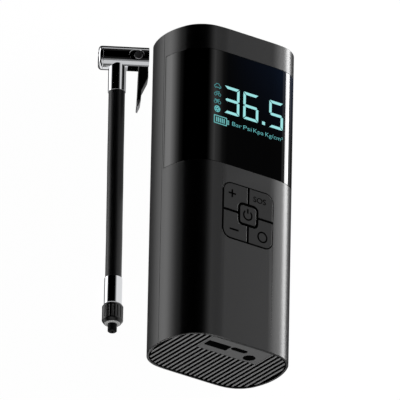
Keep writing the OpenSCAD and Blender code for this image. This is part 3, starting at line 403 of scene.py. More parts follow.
strip_lamp("soft_strip", gloss_bearings, whole_run, 1.2, distance=soft_distance)
strip_lamp("key_strip", gloss_bearings, bright_run, 12.0)
strip_lamp("low_key_strip", gloss_bearings, dim_run, 6.5)
shell_strip = strip_lamp("shell_strip", shell_bearings, bright_run, 12.5)
low_shell_strip = strip_lamp("low_shell_strip", shell_bearings, dim_run, 8.5)
hose_strip = strip_lamp("hose_strip", hose_bearings, whole_run, 0.35)
end_lamp = area_lamp("end_lamp", near_place,
                     (-Vector(near_place)).to_track_quat("-Z", "Y").to_matrix(),
                     width=1.3, length=0.75, radiance=2.9)

# %% [markdown]
# ## Finishes
# Each finish is a Principled shader with a little procedural life in it: moulded plastic has a
# fine grain, rubber an uneven colour, and plated metal an uneven gloss. The patterns read Object
# coordinates. Those equal real places here, because every piece keeps its place in its mesh, so
# the grain has its true size everywhere and needs no unwrapping.

# %% Finish helpers
SLOT_OF = {part["node"]: part["material_slot"] for part in frame["record"]["subparts"]}
noise_detail = 3.0
noise_low, noise_high = 0.3, 0.7  # the noise seldom leaves this span


def finish_paint(name, **values):
    """A material whose Principled shader has the given socket values."""
    paint = bpy.data.materials.new(name)
    paint.use_nodes = True
    shader = paint.node_tree.nodes["Principled BSDF"]
    for socket, value in values.items():
        shader.inputs[socket.replace("_", " ")].default_value = value
    return paint


def noise_of(paint, scale, stretch=(1, 1, 1)):
    """A noise pattern on Object coordinates, with scale in waves a metre."""
    nodes, links = paint.node_tree.nodes, paint.node_tree.links
    place = nodes.new("ShaderNodeTexCoord")
    turn = nodes.new("ShaderNodeMapping")
    turn.inputs["Scale"].default_value = stretch
    noise = nodes.new("ShaderNodeTexNoise")
    noise.inputs["Scale"].default_value = scale
    noise.inputs["Detail"].default_value = noise_detail
    links.new(place.outputs["Object"], turn.inputs["Vector"])
    links.new(turn.outputs["Vector"], noise.inputs["Vector"])
    return noise.outputs["Fac"]


def add_grain(paint, scale, height_mm):
    """A bumpy grain of the given height."""
    nodes, links = paint.node_tree.nodes, paint.node_tree.links
    bump = nodes.new("ShaderNodeBump")
    bump.inputs["Strength"].default_value = 1.0
    bump.inputs["Distance"].default_value = height_mm * MM
    links.new(noise_of(paint, scale), bump.inputs["Height"])
    links.new(bump.outputs["Normal"], nodes["Principled BSDF"].inputs["Normal"])


def vary(paint, socket, scale, low, high, stretch=(1, 1, 1)):
    """Lets a socket wander between two values over the surface."""
    nodes, links = paint.node_tree.nodes, paint.node_tree.links
    spread = nodes.new("ShaderNodeMapRange")
    spread.inputs["From Min"].default_value = noise_low
    spread.inputs["From Max"].default_value = noise_high
    spread.inputs["To Min"].default_value = low
    spread.inputs["To Max"].default_value = high
    links.new(noise_of(paint, scale, stretch), spread.inputs["Value"])
    links.new(spread.outputs["Result"], nodes["Principled BSDF"].inputs[socket])


def uneven_paint(name, scale, dark, light, grain=None, **values):
    """A finish whose colour wanders from dark to light, with an optional grain."""
    paint = finish_paint(name, **values)
    nodes, links = paint.node_tree.nodes, paint.node_tree.links
    ramp = nodes.new("ShaderNodeValToRGB")
    for stop, position, colour in zip(ramp.color_ramp.elements, (noise_low, noise_high),
                                      (dark, light)):
        stop.position = position
        stop.color = (*colour, 1)
    links.new(noise_of(paint, scale), ramp.inputs["Fac"])
    links.new(ramp.outputs["Color"], nodes["Principled BSDF"].inputs["Base Color"])
    if grain:
        add_grain(paint, *grain)
    return paint


# %% [markdown]
# ## Plastics and rubber
# The housing is moulded in black plastic with a fine satin texture. Its gloss is even, because
# any waver in it would break the long highlights into spots, so only its colour and grain vary.
# The keys and the ribs are greyer and duller. The grille's grooves get painted shade, almost black,
# which is cheaper than tracing light down into each slit.

# %% Plastics and rubber
satin_shell = uneven_paint(
    "satin_shell", 900, (0.010, 0.010, 0.011), (0.012, 0.012, 0.013), (3500, 0.0008),
    Roughness=0.276, Specular_IOR_Level=0.5)
key_plastic = uneven_paint(
    "key_plastic", 900, (0.030, 0.030, 0.031), (0.035, 0.035, 0.036), (3500, 0.002),
    Roughness=0.36)
grille_plastic = uneven_paint(
    "grille_plastic", 700, (0.050, 0.050, 0.051), (0.058, 0.058, 0.059), (3000, 0.005),
    Roughness=0.4)
rib_plastic = uneven_paint(
    "rib_plastic", 700, (0.21, 0.21, 0.212), (0.25, 0.25, 0.252), (3000, 0.005),
    Roughness=0.4)
# Painted shade: the grille's grooves and the port plate's depths are made almost black.
groove_painted_shade = uneven_paint(
    "groove_painted_shade", 700, (0.0015, 0.0015, 0.0015), (0.003, 0.003, 0.003),
    Roughness=0.85, Specular_IOR_Level=0.1)
frame_plastic = uneven_paint(
    "frame_plastic", 800, (0.001, 0.001, 0.001), (0.002, 0.002, 0.002),
    Roughness=0.9, Specular_IOR_Level=0.08)
lamp_lens_plastic = finish_paint(
    "lamp_lens_plastic", Base_Color=(0.82, 0.86, 0.9, 1), Roughness=0.25, IOR=1.45)
add_grain(lamp_lens_plastic, 1200, 0.02)
white_plastic = uneven_paint(
    "white_plastic", 600, (0.62, 0.62, 0.61), (0.7, 0.7, 0.69), Roughness=0.4)
hose_rubber = uneven_paint(
    "hose_rubber", 500, (0.008, 0.008, 0.009), (0.013, 0.013, 0.014), (2600, 0.012),
    Roughness=0.42)
soft_rubber = uneven_paint(
    "soft_rubber", 700, (0.01, 0.01, 0.01), (0.018, 0.018, 0.018), Roughness=0.6)
nylon = uneven_paint(
    "nylon", 500, (0.62, 0.58, 0.46), (0.7, 0.66, 0.55), Roughness=0.45)
cell_wrap = uneven_paint(
    "cell_wrap", 200, (0.04, 0.13, 0.33), (0.05, 0.16, 0.38), Roughness=0.28)
board_mask = uneven_paint(
    "board_mask", 300, (0.01, 0.07, 0.03), (0.015, 0.1, 0.045), Roughness=0.35)
print("plastics and rubber done, materials:", len(bpy.data.materials))

# %% [markdown]
# ## Rim and gloss band
# Two colours change from place to place, and both are painted light. The thin rim round each end
# has a painted highlight: it is light at its narrow sides and dark along the middle. The gloss band
# has a painted blue reflection that grows towards its far right corner. Vertex colours could hold
# that, but a map from place to colour needs no mesh.

# %% Rim and gloss band
rim_half = 35
# Painted highlight on the rim: light at its narrow sides, dark along the middle.
RIM_PAINTED_LIGHT = [(-35, 0.95), (-27, 0.7), (-17, 0.42), (-7, 0.08), (0, 0.02), (28, 0.02), (33, 0.35),
            (35, 0.4)]
# The blue is a painted reflection on the gloss band.
film_plain, painted_blue_reflection = (0.0008, 0.0009, 0.0013), (0.0085, 0.0190, 0.0480)


def share_along(paint, axis, low, high):
    """How far a place has come from low to high along an axis, as a socket from 0 to 1."""
    nodes, links = paint.node_tree.nodes, paint.node_tree.links
    place = nodes.new("ShaderNodeTexCoord")
    split = nodes.new("ShaderNodeSeparateXYZ")
    share = nodes.new("ShaderNodeMapRange")
    share.inputs["From Min"].default_value = low
    share.inputs["From Max"].default_value = high
    links.new(place.outputs["Object"], split.inputs[0])
    links.new(split.outputs[axis], share.inputs["Value"])
    return share.outputs["Result"]


def paint_reflection_towards(paint, low, high, plain, tinted):
    """Paints a reflection into the base colour, which turns from plain to tinted between two
    corners, in x and in y.
    """
    nodes, links = paint.node_tree.nodes, paint.node_tree.links
    both = nodes.new("ShaderNodeMath")
    both.operation = "MULTIPLY"
    mix = nodes.new("ShaderNodeMix")
    mix.data_type = "RGBA"
    mix.inputs["A"].default_value = (*plain, 1)
    mix.inputs["B"].default_value = (*tinted, 1)
    for i, axis in enumerate("XY"):
        links.new(share_along(paint, axis, low[i], high[i]), both.inputs[i])
    links.new(both.outputs[0], mix.inputs["Factor"])
    links.new(mix.outputs["Result"], nodes["Principled BSDF"].inputs["Base Color"])


# The rim's colour carries a painted highlight.
rim_painted_light = finish_paint("rim_painted_light", Roughness=0.4, Specular_IOR_Level=0.15)
add_grain(rim_painted_light, 3000, 0.003)
rim_nodes, rim_links = rim_painted_light.node_tree.nodes, rim_painted_light.node_tree.links
rim_ramp = grey_ramp(rim_nodes, -rim_half, rim_half, RIM_PAINTED_LIGHT)
rim_links.new(share_along(rim_painted_light, "X", -rim_half * MM, rim_half * MM), rim_ramp.inputs["Fac"])
rim_links.new(rim_ramp.outputs["Color"], rim_nodes["Principled BSDF"].inputs["Base Color"])

gloss_band = finish_paint("gloss_band", IOR=1.5)
vary(gloss_band, "Roughness", 60, 0.025, 0.04)
# Paints a blue reflection into the band towards its far right corner.
paint_reflection_towards(gloss_band, on_front(-16, 112), on_front(24, 150), film_plain, painted_blue_reflection)
print("rim stops:", len(RIM_PAINTED_LIGHT))

# %% [markdown]
# ## Metals
# The chuck and the ferrules are chromed, the nut and the lever are blackened, and the screws,
# shafts and gears inside are plain steel, brass and alloy. A bare metal's colour is all in its
# reflection, so these have Metallic at 1. The black is a coat and shines like a lacquer, so it
# has none.

# %% Metals
chrome_plate = finish_paint("chrome_plate", Base_Color=(0.83, 0.84, 0.86, 1), Metallic=1.0)
vary(chrome_plate, "Roughness", 200, 0.06, 0.08)
plated_steel = uneven_paint(
    "plated_steel", 400, (0.5, 0.5, 0.52), (0.6, 0.6, 0.62), Metallic=1.0)
vary(plated_steel, "Roughness", 900, 0.25, 0.4, stretch=(1, 0.1, 1))
turned_brass = uneven_paint(
    "turned_brass", 400, (0.66, 0.46, 0.17), (0.75, 0.55, 0.24), Metallic=1.0, Roughness=0.25)
cast_alloy = uneven_paint(
    "cast_alloy", 500, (0.45, 0.46, 0.47), (0.55, 0.56, 0.57), (1500, 0.02),
    Metallic=1.0, Roughness=0.45)
black_metal = uneven_paint(
    "black_metal", 600, (0.006, 0.006, 0.006), (0.010, 0.010, 0.010), Specular_IOR_Level=0.6)
vary(black_metal, "Roughness", 200, 0.28, 0.31)
thread_black = uneven_paint(
    "thread_black", 600, (0.002, 0.002, 0.002), (0.003, 0.003, 0.003),
    Roughness=0.6, Specular_IOR_Level=0.1)
# Painted shade: the sockets' steel is made nearly black, for the shade inside the ports.
socket_steel_painted_shade = uneven_paint(
    "socket_steel_painted_shade", 600, (0.02, 0.02, 0.022), (0.03, 0.03, 0.032), Metallic=1.0, Roughness=0.5)
copper_coil = uneven_paint(
    "copper_coil", 900, (0.4, 0.16, 0.07), (0.55, 0.25, 0.12), Metallic=1.0, Roughness=0.35)
print("metals done, materials:", len(bpy.data.materials))

# %% [markdown]
# ## Lit marks, ink and slots
# The display's marks are light that comes through a dark film, so they glow in their own colour
# and shine little. The brightest are the digits, and the pictograms are dimmest. The keys carry
# black ink. Then every CAD node gets the finish of its material slot.

# %% Lit marks and ink
def lit_paint(name, colour):
    """A mark that glows through the dark lens."""
    return finish_paint(name, Base_Color=(0.01, 0.02, 0.02, 1), Roughness=0.5,
                        Specular_IOR_Level=0.1, Emission_Color=(*colour, 1), Emission_Strength=1.0)


lit_digits = lit_paint("lit_digits", (0.33, 0.75, 0.75))
lit_signs = lit_paint("lit_signs", (0.06, 0.24, 0.25))
lit_ball = lit_paint("lit_ball", (0.13, 0.46, 0.47))
lit_words = lit_paint("lit_words", (0.11, 0.42, 0.43))
lit_battery = lit_paint("lit_battery", (0.13, 0.42, 0.42))
key_print = finish_paint("key_print", Base_Color=(0.001, 0.001, 0.001, 1), Roughness=0.8,
                         Specular_IOR_Level=0.0)

# %% Slots
PAINT_OF_SLOT = {
    "shell_plastic": satin_shell, "end_plastic": grille_plastic, "gloss_panel": gloss_band,
    "clear_lens": lamp_lens_plastic, "frame_plastic": frame_plastic, "white_plastic": white_plastic,
    "board": board_mask, "steel": plated_steel, "chrome": chrome_plate, "brass": turned_brass,
    "alloy": cast_alloy, "nylon": nylon, "black_metal": black_metal, "rubber": soft_rubber,
    "cell_wrap": cell_wrap, "copper": copper_coil,
}
for node, cad_object in frame["nodes"].items():
    cad_object.data.materials.clear()
    cad_object.data.materials.append(PAINT_OF_SLOT[SLOT_OF[node]])
print("finishes:", len(bpy.data.materials))

# %% [markdown]
# ## Pieces with soft edges
# A moulded or turned edge is never knife sharp: it catches a thin line of light. Each visible
# CAD node gets a finished copy. The copy's loose triangles are merged, flat ones are dissolved
# into whole faces, and the sharp edges get a small round bevel. Weighted normals then keep the
# flat faces flat while the round ones shade smoothly. A bevel modifier would round the hidden
# inner edges too, so the edges are picked here: convex, and with nothing of the piece before
# them. On the thin shells they also have to lie on the convex skin, which is the body's outside.

# %% Helpers for finished copies
def piece_of(name, shape, paint, body, smooth=True):
    """Turns a bmesh into a piece that rides on a body."""
    for face in shape.faces:
        face.smooth = smooth
    mesh = bpy.data.meshes.new(name)
    shape.to_mesh(mesh)
    shape.free()
    mesh.materials.append(paint)
    piece = bpy.data.objects.new(name, mesh)
    scene.collection.objects.link(piece)
    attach(piece, body)
    return piece


def convex_skin(source):
    """A tree of the convex skin round a node."""
    hull = bmesh.new()
    for v in source.data.vertices:
        hull.verts.new(v.co)
    bmesh.ops.convex_hull(hull, input=hull.verts)
    tree = BVHTree.FromBMesh(hull)
    hull.free()
    return tree


def faces_out(tree, place, normal):
    """Whether a line from a place leaves the shape without meeting it again."""
    lift, whole_object = 0.05 * MM, 0.3
    return tree.ray_cast(place + normal * lift, normal, whole_object)[0] is None


# %% Finished copies
merge_gap, sliver = 0.002 * MM, 0.001 * MM
flat_angle, crease_angle, shading_angle = math.radians(0.5), math.radians(32), math.radians(40)
skin_gap = 0.1 * MM


def finished_copy(node, edge_mm, paint=None, segments=2, skin_only=False):
    """A copy of a CAD node with its outer sharp edges rounded, which stands for the node."""
    source = frame["nodes"][node]
    shape = bmesh.new()
    shape.from_mesh(source.data)
    bmesh.ops.remove_doubles(shape, verts=shape.verts, dist=merge_gap)
    bmesh.ops.dissolve_degenerate(shape, edges=shape.edges, dist=sliver)
    bmesh.ops.dissolve_limit(shape, angle_limit=flat_angle, verts=shape.verts, edges=shape.edges)
    tree = BVHTree.FromBMesh(shape)
    skin = convex_skin(source) if skin_only else None
    sharp = []
    for edge in shape.edges:
        if len(edge.link_faces) != 2 or not edge.is_convex:
            continue
        if edge.calc_face_angle() < crease_angle:
            continue
        middle = (edge.verts[0].co + edge.verts[1].co) / 2
        normal = (edge.link_faces[0].normal + edge.link_faces[1].normal).normalized()
        if skin_only and skin.find_nearest(middle)[3] > skin_gap:
            continue
        if faces_out(tree, middle, normal):
            sharp.append(edge)
    bmesh.ops.bevel(shape, geom=sharp, offset=edge_mm * MM, offset_type="OFFSET",
                    segments=segments, profile=0.5, affect="EDGES", clamp_overlap=False,
                    material=-1)
    for edge in shape.edges:
        edge.smooth = len(edge.link_faces) == 2 and edge.calc_face_angle() < shading_angle
    piece = piece_of(node + "_finished", shape, paint or PAINT_OF_SLOT[SLOT_OF[node]],
                     source["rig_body"])
    normals = piece.modifiers.new("flat_faces_stay_flat", "WEIGHTED_NORMAL")
    normals.keep_sharp = True
    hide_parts(node)
    return piece


# %% Edges in millimetres
KEY_NODES = ["button_plus", "button_light", "button_minus", "button_mode", "button_power"]
key_edge, key_segments = 0.25, 3
EDGES = {
    "display_lens": 0.14, "base_grille": 0.12, "port_plate": 0.16, "button_frame": 0.05,
    "usb_a_socket": 0.05, "usb_c_socket": 0.05, "outlet_bush": 0.1, "case_screws": 0.05,
    "upper_ferrule": 0.12, "lower_ferrule": 0.12, "chuck_body": 0.03, "chuck_cap": 0.05,
    "chuck_lever": 0.25, "lever_pin": 0.06, "connector_nut": 0.06, "nipple": 0.08,
    "face_washer": 0.08,
}
SKIN_EDGES = {"front_shell": 0.2, "rear_shell": 0.2, "top_cap": 0.25, "lamp_lens": 0.2}
# The ports' sockets get the near-black steel of painted shade.
OWN_PAINT = {"usb_a_socket": socket_steel_painted_shade, "usb_c_socket": socket_steel_painted_shade, "nipple": thread_black}
pieces = {node: finished_copy(node, edge, paint=OWN_PAINT.get(node))
          for node, edge in EDGES.items()}
for node, edge in SKIN_EDGES.items():
    pieces[node] = finished_copy(node, edge, skin_only=True)
for node in KEY_NODES:
    pieces[node] = finished_copy(node, key_edge, paint=key_plastic, segments=key_segments)
print("finished copies:", len(pieces))

# %% [markdown]
# ## Second finishes
# Some pieces wear two finishes: the grille's grooves and the ports' depths get painted shade, the
# shells' rims get a painted highlight, the lever's tip is painted bright metal for a painted glint,
# and the nipple has a white seat where its washer lies. One could cut such a piece in two. It is
# simpler to give its mesh a second material and to pick the faces that take it by their place.

# %% Second finishes
rib_depth, plate_depth = 0.02 * MM, 0.25 * MM
rim_depth = 0.22 * MM
# Painted glint: the lever's tip is made bright metal, standing in for a highlight.
glint_tip_length = 3.6 * MM
seat_gap = 0.1 * MM


def paint_faces(piece, paint, chosen):
    """Gives a second finish to the faces that a test chooses."""
    piece.data.materials.append(paint)
    for face in piece.data.polygons:
        if chosen(face):
            face.material_index = 1


pieces["base_grille"].data.materials[0] = rib_plastic
# Painted shade in the grille's grooves and the ports' depths.
for node, depth in (("base_grille", rib_depth), ("port_plate", plate_depth)):
    deep_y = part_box(node)[0].y + depth
    paint_faces(pieces[node], groove_painted_shade, lambda face: face.center.y > deep_y)

# The rims of both shells take the painted highlight.
for node in ("front_shell", "rear_shell"):
    paint_faces(pieces[node], rim_painted_light,
                lambda face: abs(face.center.y) > -ported_y - rim_depth)

lever = pieces["chuck_lever"]
lever_shape = bmesh.new()
lever_shape.from_mesh(lever.data)
glint_tip_y = min(v.co.y for v in lever_shape.verts) + glint_tip_length
bmesh.ops.bisect_plane(
    lever_shape, geom=lever_shape.verts[:] + lever_shape.edges[:] + lever_shape.faces[:],
    plane_co=(0, glint_tip_y, 0), plane_no=(0, 1, 0), dist=sliver)
lever_shape.to_mesh(lever.data)
lever_shape.free()
# The tip's faces take the bright metal of the painted glint.
paint_faces(lever, plated_steel, lambda face: face.center.y < glint_tip_y)

seat_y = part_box("face_washer")[0].y
paint_faces(pieces["nipple"], white_plastic,
            lambda face: face.normal.y < -0.9 and abs(face.center.y - seat_y) < seat_gap)
print("pieces with two finishes:", sum(len(p.data.materials) > 1 for p in pieces.values()))

# %% [markdown]
# ## Hose
# The free hose is a rubber tube, 8 mm thick, that lies in one lazy line from the chuck's
# ferrule down to the connector's ferrule on the floor. It is a Bezier curve with a round bevel,
# so its length is the length of its own centre line, and the same points lead the CAD tube.

# %% Hose
hose_diameter = 8 * MM
hose_route = [
    (-52.6, 52, 9.3), (-52.55, 45, 9.27), (-52.45, 38, 9.17), (-52.3, 31, 9), (-52.1, 24, 8.7),
    (-51.8, 17, 8.3), (-51.45, 10, 7.85), (-51.05, 3, 7.4), (-50.7, -4, 6.9), (-50.3, -11, 6.4),
    (-50, -18, 6), (-49.7, -25, 5.7), (-49.5, -32, 5.4), (-49.4, -39.5, 5.25),
    (-49.3, -47.05, 5.2),
]
hose_points = [Vector(p) * MM for p in hose_route]

hose_line = bpy.data.curves.new("hose_tube", "CURVE")
hose_line.dimensions = "3D"
hose_line.resolution_u = 8
hose_line.bevel_depth = hose_diameter / 2
hose_line.bevel_resolution = 10
hose_line.use_fill_caps = True
hose_spline = hose_line.splines.new("BEZIER")
hose_spline.bezier_points.add(len(hose_points) - 1)
for knot, point in zip(hose_spline.bezier_points, hose_points):
    knot.co = point
    knot.handle_left_type = knot.handle_right_type = "AUTO"
hose_line.materials.append(hose_rubber)
hose = bpy.data.objects.new("hose_tube", hose_line)
scene.collection.objects.link(hose)
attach(hose, "hose_set")
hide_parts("hose")
ON_HOSE = ["upper_ferrule", "lower_ferrule", "chuck_body", "chuck_cap", "lever_pin",
           "chuck_lever", "connector_nut", "nipple", "face_washer"]
ON_HOSE_NODES = [frame["nodes"]["chuck_seal"], frame["nodes"]["chuck_plunger"]]

# %% [markdown]
# ## What each lamp reaches
# Now that the pieces exist, the lamps get their flags. The two shell strips shine on the satin
# housing alone, the hose's strip on the hose set, and the end lamp on the grille, the port plate
# and the hose's nipple with its washer. Nothing mirrors the hose set, so the body's stripes stay
# unbroken.

# %% Light linking
def shine_only_on(lamp, reached):
    """Links a lamp to the pieces that it may light."""
    reach = bpy.data.collections.new(lamp.name + "_reach")
    for piece in reached:
        reach.objects.link(piece)
    lamp.light_linking.receiver_collection = reach
    print(lamp.name, "lights", len(reached), "pieces")


SHELL_PIECES = [pieces[n] for n in ("front_shell", "rear_shell", "top_cap", "lamp_lens")]
END_PIECES = [pieces[n] for n in ("base_grille", "port_plate", "face_washer", "nipple")]
hose_set = [hose] + [pieces[n] for n in ON_HOSE] + ON_HOSE_NODES
for piece in hose_set:
    piece.visible_glossy = False
shine_only_on(hose_strip, hose_set)
shine_only_on(shell_strip, SHELL_PIECES)
shine_only_on(low_shell_strip, SHELL_PIECES)
shine_only_on(end_lamp, END_PIECES)

# %% [markdown]
# ## Marks
# The lit signs of the display and the printed signs of the keys are thin plates. Each is drawn
# flat, as closed outlines in millimetres, and filled by a 2D curve, which also opens its holes.
# Then it is laid on the part. The display runs over the start of the rounded corner, so the
# plates are first cut into strips there, and every point is dropped onto the part's own surface.
# An image on the surface would be less work, but its edges would blur from near by.

# %% Flat shapes
mark_height = 0.05
same_point = 0.0005
capitals_share = 0.73  # of the font's size


def filled(curve):
    """A bmesh of a flat curve or text, in its own millimetres."""
    carrier = bpy.data.objects.new("flat_shape", curve)
    mesh = bpy.data.meshes.new_from_object(carrier)
    shape = bmesh.new()
    shape.from_mesh(mesh)
    bpy.data.objects.remove(carrier)
    bpy.data.meshes.remove(mesh)
    bmesh.ops.remove_doubles(shape, verts=shape.verts, dist=same_point)
    return shape


def outline_shape(outlines):
    """A thin plate from closed outlines of (x, l) points. An outline in another is a hole."""
    curve = bpy.data.curves.new("outlines", "CURVE")
    curve.dimensions = "2D"
    curve.fill_mode = "BOTH"
    curve.extrude = mark_height / 2
    for outline in outlines:
        spline = curve.splines.new("POLY")
        spline.points.add(len(outline) - 1)
        for point, (x, l) in zip(spline.points, outline):
            point.co = (x, l, 0, 1)
        spline.use_cyclic_u = True
    return filled(curve)


def word_shape(word, x_from, x_to, l_from, cap_height, weight):
    """A thin plate of a word that fills a width, with capitals of the given height and weight."""
    text = bpy.data.curves.new("word", "FONT")
    text.body = word
    text.extrude = mark_height / 2
    text.offset = weight
    text.resolution_u = 4
    text.size = cap_height / capitals_share
    shape = filled(text)
    left = min(v.co.x for v in shape.verts)
    wide = max(v.co.x for v in shape.verts) - left
    for v in shape.verts:
        v.co.x = x_from + (v.co.x - left) * (x_to - x_from) / wide
        v.co.y += l_from
    return shape


# %% Laying flat shapes on a part
mark_sunk = 0.02
flat_half, lens_reach = 12, 26
cut_step, cut_snap = 0.8, 0.001
drop_from = 4


def surface_of(node):
    """A tree that finds where a line meets a CAD node."""
    shape = bmesh.new()
    shape.from_mesh(frame["nodes"][node].data)
    tree = BVHTree.FromBMesh(shape)
    shape.free()
    return tree


def lay(name, shape, surface, paint, body):
    """Drops a thin plate onto a surface and makes it a piece."""
    cuts = [side * (flat_half + i * cut_step) for side in (-1, 1)
            for i in range(int((lens_reach - flat_half) / cut_step))]
    for x in cuts:
        bmesh.ops.bisect_plane(shape, geom=shape.verts[:] + shape.edges[:] + shape.faces[:],
                               plane_co=(x, 0, 0), plane_no=(1, 0, 0), dist=cut_snap)
    for v in shape.verts:
        start = on_front(v.co.x, v.co.y) + backward * drop_from * MM
        place, normal = surface.ray_cast(start, -backward)[:2]
        v.co = place + normal * (v.co.z + mark_height / 2 - mark_sunk) * MM
    bmesh.ops.recalc_face_normals(shape, faces=shape.faces)
    return piece_of(name, shape, paint, body, smooth=False)


# %% Outlines
def circle_points(x, l, radius, steps=40, start=0.0, stop=360.0):
    """Points on a circle or an arc. Angles count from +x towards +l."""
    count = steps if stop - start == 360 else steps + 1
    angles = [math.radians(start + (stop - start) * i / steps) for i in range(count)]
    return [(x + radius * math.cos(a), l + radius * math.sin(a)) for a in angles]


def box_points(x, l, width, length, corner=0.0):
    """A rectangle round a centre, with round corners where a radius is given."""
    w, h = width / 2, length / 2
    if not corner:
        return [(x - w, l - h), (x + w, l - h), (x + w, l + h), (x - w, l + h)]
    points = []
    for turn, (sx, sl) in enumerate([(1, 1), (-1, 1), (-1, -1), (1, -1)]):
        points += circle_points(x + sx * (w - corner), l + sl * (h - corner), corner, 5,
                                turn * 90, turn * 90 + 90)
    return points


# %% [markdown]
# ## Seven-segment digits
# A light display builds each digit from seven bars with slanted ends, and the gaps between them
# stay dark. A font could stand in for it, but its strokes would join. So each bar is an outline
# of its own, and a digit is the list of the bars that are lit.

# %% Seven-segment digits
stroke_w = 1.42
segment_gap = 0.24
digit_low, digit_high = 119.5, 134.0
dot_x, dot_w, dot_corner = 8.2, 1.7, 0.15
dot_rise = 0.9
SEGMENTS = {"3": "abgcd", "6": "afgedc", "5": "afgcd"}
DIGITS = (("3", -15.0, -6.2), ("6", -3.9, 5.0), ("5", 11.4, 19.6))


def segment_outlines(character, x_from, x_to):
    """The lit segments of a digit between two x values. The factors slant the bars' ends."""
    w, h, t, g = x_to - x_from, digit_high - digit_low, stroke_w, segment_gap
    mid, lean = h / 2, t / 2
    shapes = {
        "a": [(g, h), (w - g, h), (w - t - g, h - t), (t + g, h - t)],
        "d": [(t + g, t), (w - t - g, t), (w - g, 0), (g, 0)],
        "g": [(lean * 0.7 + g, mid), (lean + g, mid + t * 0.36), (t * 0.95, mid + t / 2),
              (w - t * 0.95, mid + t / 2), (w - lean - g, mid + t * 0.36),
              (w - lean * 0.7 - g, mid), (w - lean - g, mid - t * 0.36),
              (w - t * 0.95, mid - t / 2), (t * 0.95, mid - t / 2), (lean + g, mid - t * 0.36)],
        "b": [(w, h - g * 1.6), (w, mid + t * 0.4), (w - lean * 0.6, mid + g * 1.1),
              (w - t, mid + t / 2 + g), (w - t, h - t - g * 1.2)],
        "f": [(0, h - g * 1.6), (t, h - t - g * 1.2), (t, mid + t / 2 + g),
              (lean * 0.6, mid + g * 1.1), (0, mid + t * 0.4)],
    }
    shapes["c"] = [(x, h - y) for x, y in reversed(shapes["b"])]
    shapes["e"] = [(x, h - y) for x, y in reversed(shapes["f"])]
    return [[(x_from + x, digit_low + y) for x, y in shapes[s]] for s in SEGMENTS[character]]


lens_surface = surface_of("display_lens")


def lay_on_lens(name, shape, paint):
    """Lays a lit mark on the display's lens."""
    lay(name, shape, lens_surface, paint, "body")


digits = [box_points(dot_x, digit_low + dot_rise, dot_w, dot_w, dot_corner)]
for character, x_from, x_to in DIGITS:
    digits += segment_outlines(character, x_from, x_to)
lay_on_lens("display_digits", outline_shape(digits), lit_digits)
print("segments and dot:", len(digits))

# %% [markdown]
# ## Small lit signs
# Four pictograms stand left of the digits: a car, a bicycle, a motorcycle and a ball. Under them
# is a battery with its bars, and beside it the four units of pressure. On the real display each
# sign is a tiny window in the film. Here each is a few simple outlines round its own centre.

# %% Pictograms
sign_x = -19.1
car_l, bicycle_l, motorcycle_l, ball_l = 132.45, 128.5, 124.35, 120.25
tyre = 0.3


def wheel(x, l, radius=0.85):
    """A wheel's tyre as an outline and its hole."""
    return [circle_points(x, l, radius, 20), circle_points(x, l, radius - tyre, 20)]


def line_points(a, b, stroke=0.3):
    """A straight stroke between two points."""
    along = Vector((b[0] - a[0], b[1] - a[1])).normalized() * stroke / 2
    side = Vector((-along.y, along.x))
    a, b = Vector(a), Vector(b)
    return [tuple(p) for p in (a - side, b - side, b + side, a + side)]


def moved(outlines, x, l):
    """Outlines moved by x and l."""
    return [[(px + x, pl + l) for px, pl in outline] for outline in outlines]


car = [
    [(-2, -0.8), (2, -0.8), (2.05, 0.1), (1.35, 0.4), (0.75, 1.35), (-0.85, 1.35), (-1.45, 0.4),
     (-2.05, 0.25)],
    [(-1.7, -0.5), (-1.7, 0.0), (-1.2, 0.15), (-0.68, 1.05), (0.58, 1.05), (1.1, 0.15),
     (1.72, -0.15), (1.7, -0.5)],
    circle_points(-1.15, -0.95, 0.36, 12), circle_points(1.15, -0.95, 0.36, 12),
]
bicycle = wheel(-1.2, -0.55) + wheel(1.2, -0.55) + [
    line_points((-1.2, 0.36), (-0.75, 1.0)), line_points((-0.5, 1.0), (0.75, 1.0)),
    line_points((0.95, 0.5), (0.85, 1.35)), line_points((-0.05, -0.6), (-0.5, 0.75)),
    line_points((0.15, -0.55), (0.8, 0.7)),
]
motorcycle = wheel(-1.2, -0.5, 0.9) + wheel(1.2, -0.5, 0.9) + [
    [(-0.25, -0.9), (0.25, -0.9), (0.4, 0.35), (1.0, 0.6), (1.25, 1.25), (0.8, 1.3), (0.5, 0.95),
     (-0.3, 0.8), (-0.9, 1.05), (-1.7, 1.1), (-1.5, 0.6), (-0.5, 0.3)],
]
ball = [circle_points(0, 0, 1.75, 32), circle_points(0, 0, 0.42, 5)] + [
    circle_points(1.12 * math.cos(a), 1.12 * math.sin(a), 0.3, 6)
    for a in (math.radians(72 * i + 36) for i in range(5))
]
signs = (moved(car, sign_x, car_l) + moved(bicycle, sign_x, bicycle_l)
         + moved(motorcycle, sign_x, motorcycle_l))
lay_on_lens("display_pictograms", outline_shape(signs), lit_signs)
lay_on_lens("display_ball", outline_shape(moved(ball, sign_x, ball_l)), lit_ball)
print("pictogram outlines:", len(signs) + len(ball))

# %% Battery and units
battery_l, battery_x, cap_x, cap_hole_x = 114.65, -17.15, -12.65, -12.7
bar_x, bar_step, bars = -19.35, 1.1, 5
units_l, units_height, units_weight = 113.8, 2.3, -0.025
UNITS = {"bar": ("Bar", -10.2, -4.6), "psi": ("Psi", -3.6, 1.2), "kpa": ("Kpa", 2.3, 8.3),
         "kg": ("Kg/cm\u00b2", 9.4, 19.7)}

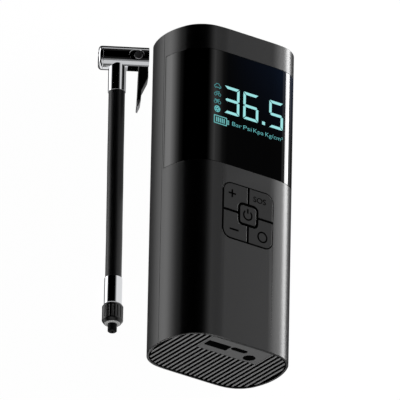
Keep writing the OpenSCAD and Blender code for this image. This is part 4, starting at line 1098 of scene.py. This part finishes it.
battery = [
    box_points(battery_x, battery_l, 7.7, 4.5, 0.35),
    box_points(battery_x, battery_l, 6.7, 3.5, 0.2),
    box_points(cap_x, battery_l, 1.1, 2.3, 0.2),
    box_points(cap_hole_x, battery_l, 0.4, 1.4),
]
battery += [box_points(bar_x + bar_step * i, battery_l, 0.72, 2.5) for i in range(bars)]
lay_on_lens("display_battery", outline_shape(battery), lit_battery)
for key, (word, x_from, x_to) in UNITS.items():
    lay_on_lens("display_unit_" + key,
                word_shape(word, x_from, x_to, units_l, units_height, units_weight), lit_words)
print("battery bars:", bars, "units:", len(UNITS))

# %% [markdown]
# ## Key legends
# The keys carry plain signs: plus, minus, SOS for the flashing lamp, a ring for the mode and the
# usual sign for power. They are black print on the dark grey keys. Each rides on its own key, so
# it goes down with it.

# %% Printed signs
print_w = 0.78
plus_x, plus_l, plus_arm, plus_half = -9.3, 77.9, 2.1, 0.42
minus_x, minus_l, minus_length, minus_w = -7.85, 59.0, 5.3, 0.88
mode_x, mode_l, mode_outer, mode_inner = 8.8, 59.5, 2.98, 2.2
power_l, power_radius, power_from, power_to = 68.75, 2.4, 128, 412
power_bar_l, power_bar_length = 70.9, 2.4
sos_from, sos_to, sos_l, sos_height, sos_weight = 3.1, 10.5, 77.0, 3.0, 0.03


def plus_points(x, l, a, h):
    """A plus sign with arms of length a and half width h."""
    return [(x + px, l + pl) for px, pl in (
        (-a, -h), (-h, -h), (-h, -a), (h, -a), (h, -h), (a, -h),
        (a, h), (h, h), (h, a), (-h, a), (-h, h), (-a, h))]


def arc_band(x, l, radius, stroke, start, stop):
    """A part of a ring with square ends."""
    outer = circle_points(x, l, radius + stroke / 2, 36, start, stop)
    inner = circle_points(x, l, radius - stroke / 2, 36, start, stop)
    return outer + inner[::-1]


KEY_SIGNS = {
    "button_plus": outline_shape([plus_points(plus_x, plus_l, plus_arm, plus_half)]),
    "button_minus": outline_shape([box_points(minus_x, minus_l, minus_length, minus_w)]),
    "button_mode": outline_shape([circle_points(mode_x, mode_l, radius)
                                  for radius in (mode_outer, mode_inner)]),
    "button_power": outline_shape([
        arc_band(0, power_l, power_radius, print_w, power_from, power_to),
        box_points(0, power_bar_l, print_w, power_bar_length)]),
    "button_light": word_shape("SOS", sos_from, sos_to, sos_l, sos_height, sos_weight),
}
for node, shape in KEY_SIGNS.items():
    lay(node + "_sign", shape, surface_of(node), key_print, frame["nodes"][node]["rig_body"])
print("key signs:", len(KEY_SIGNS))
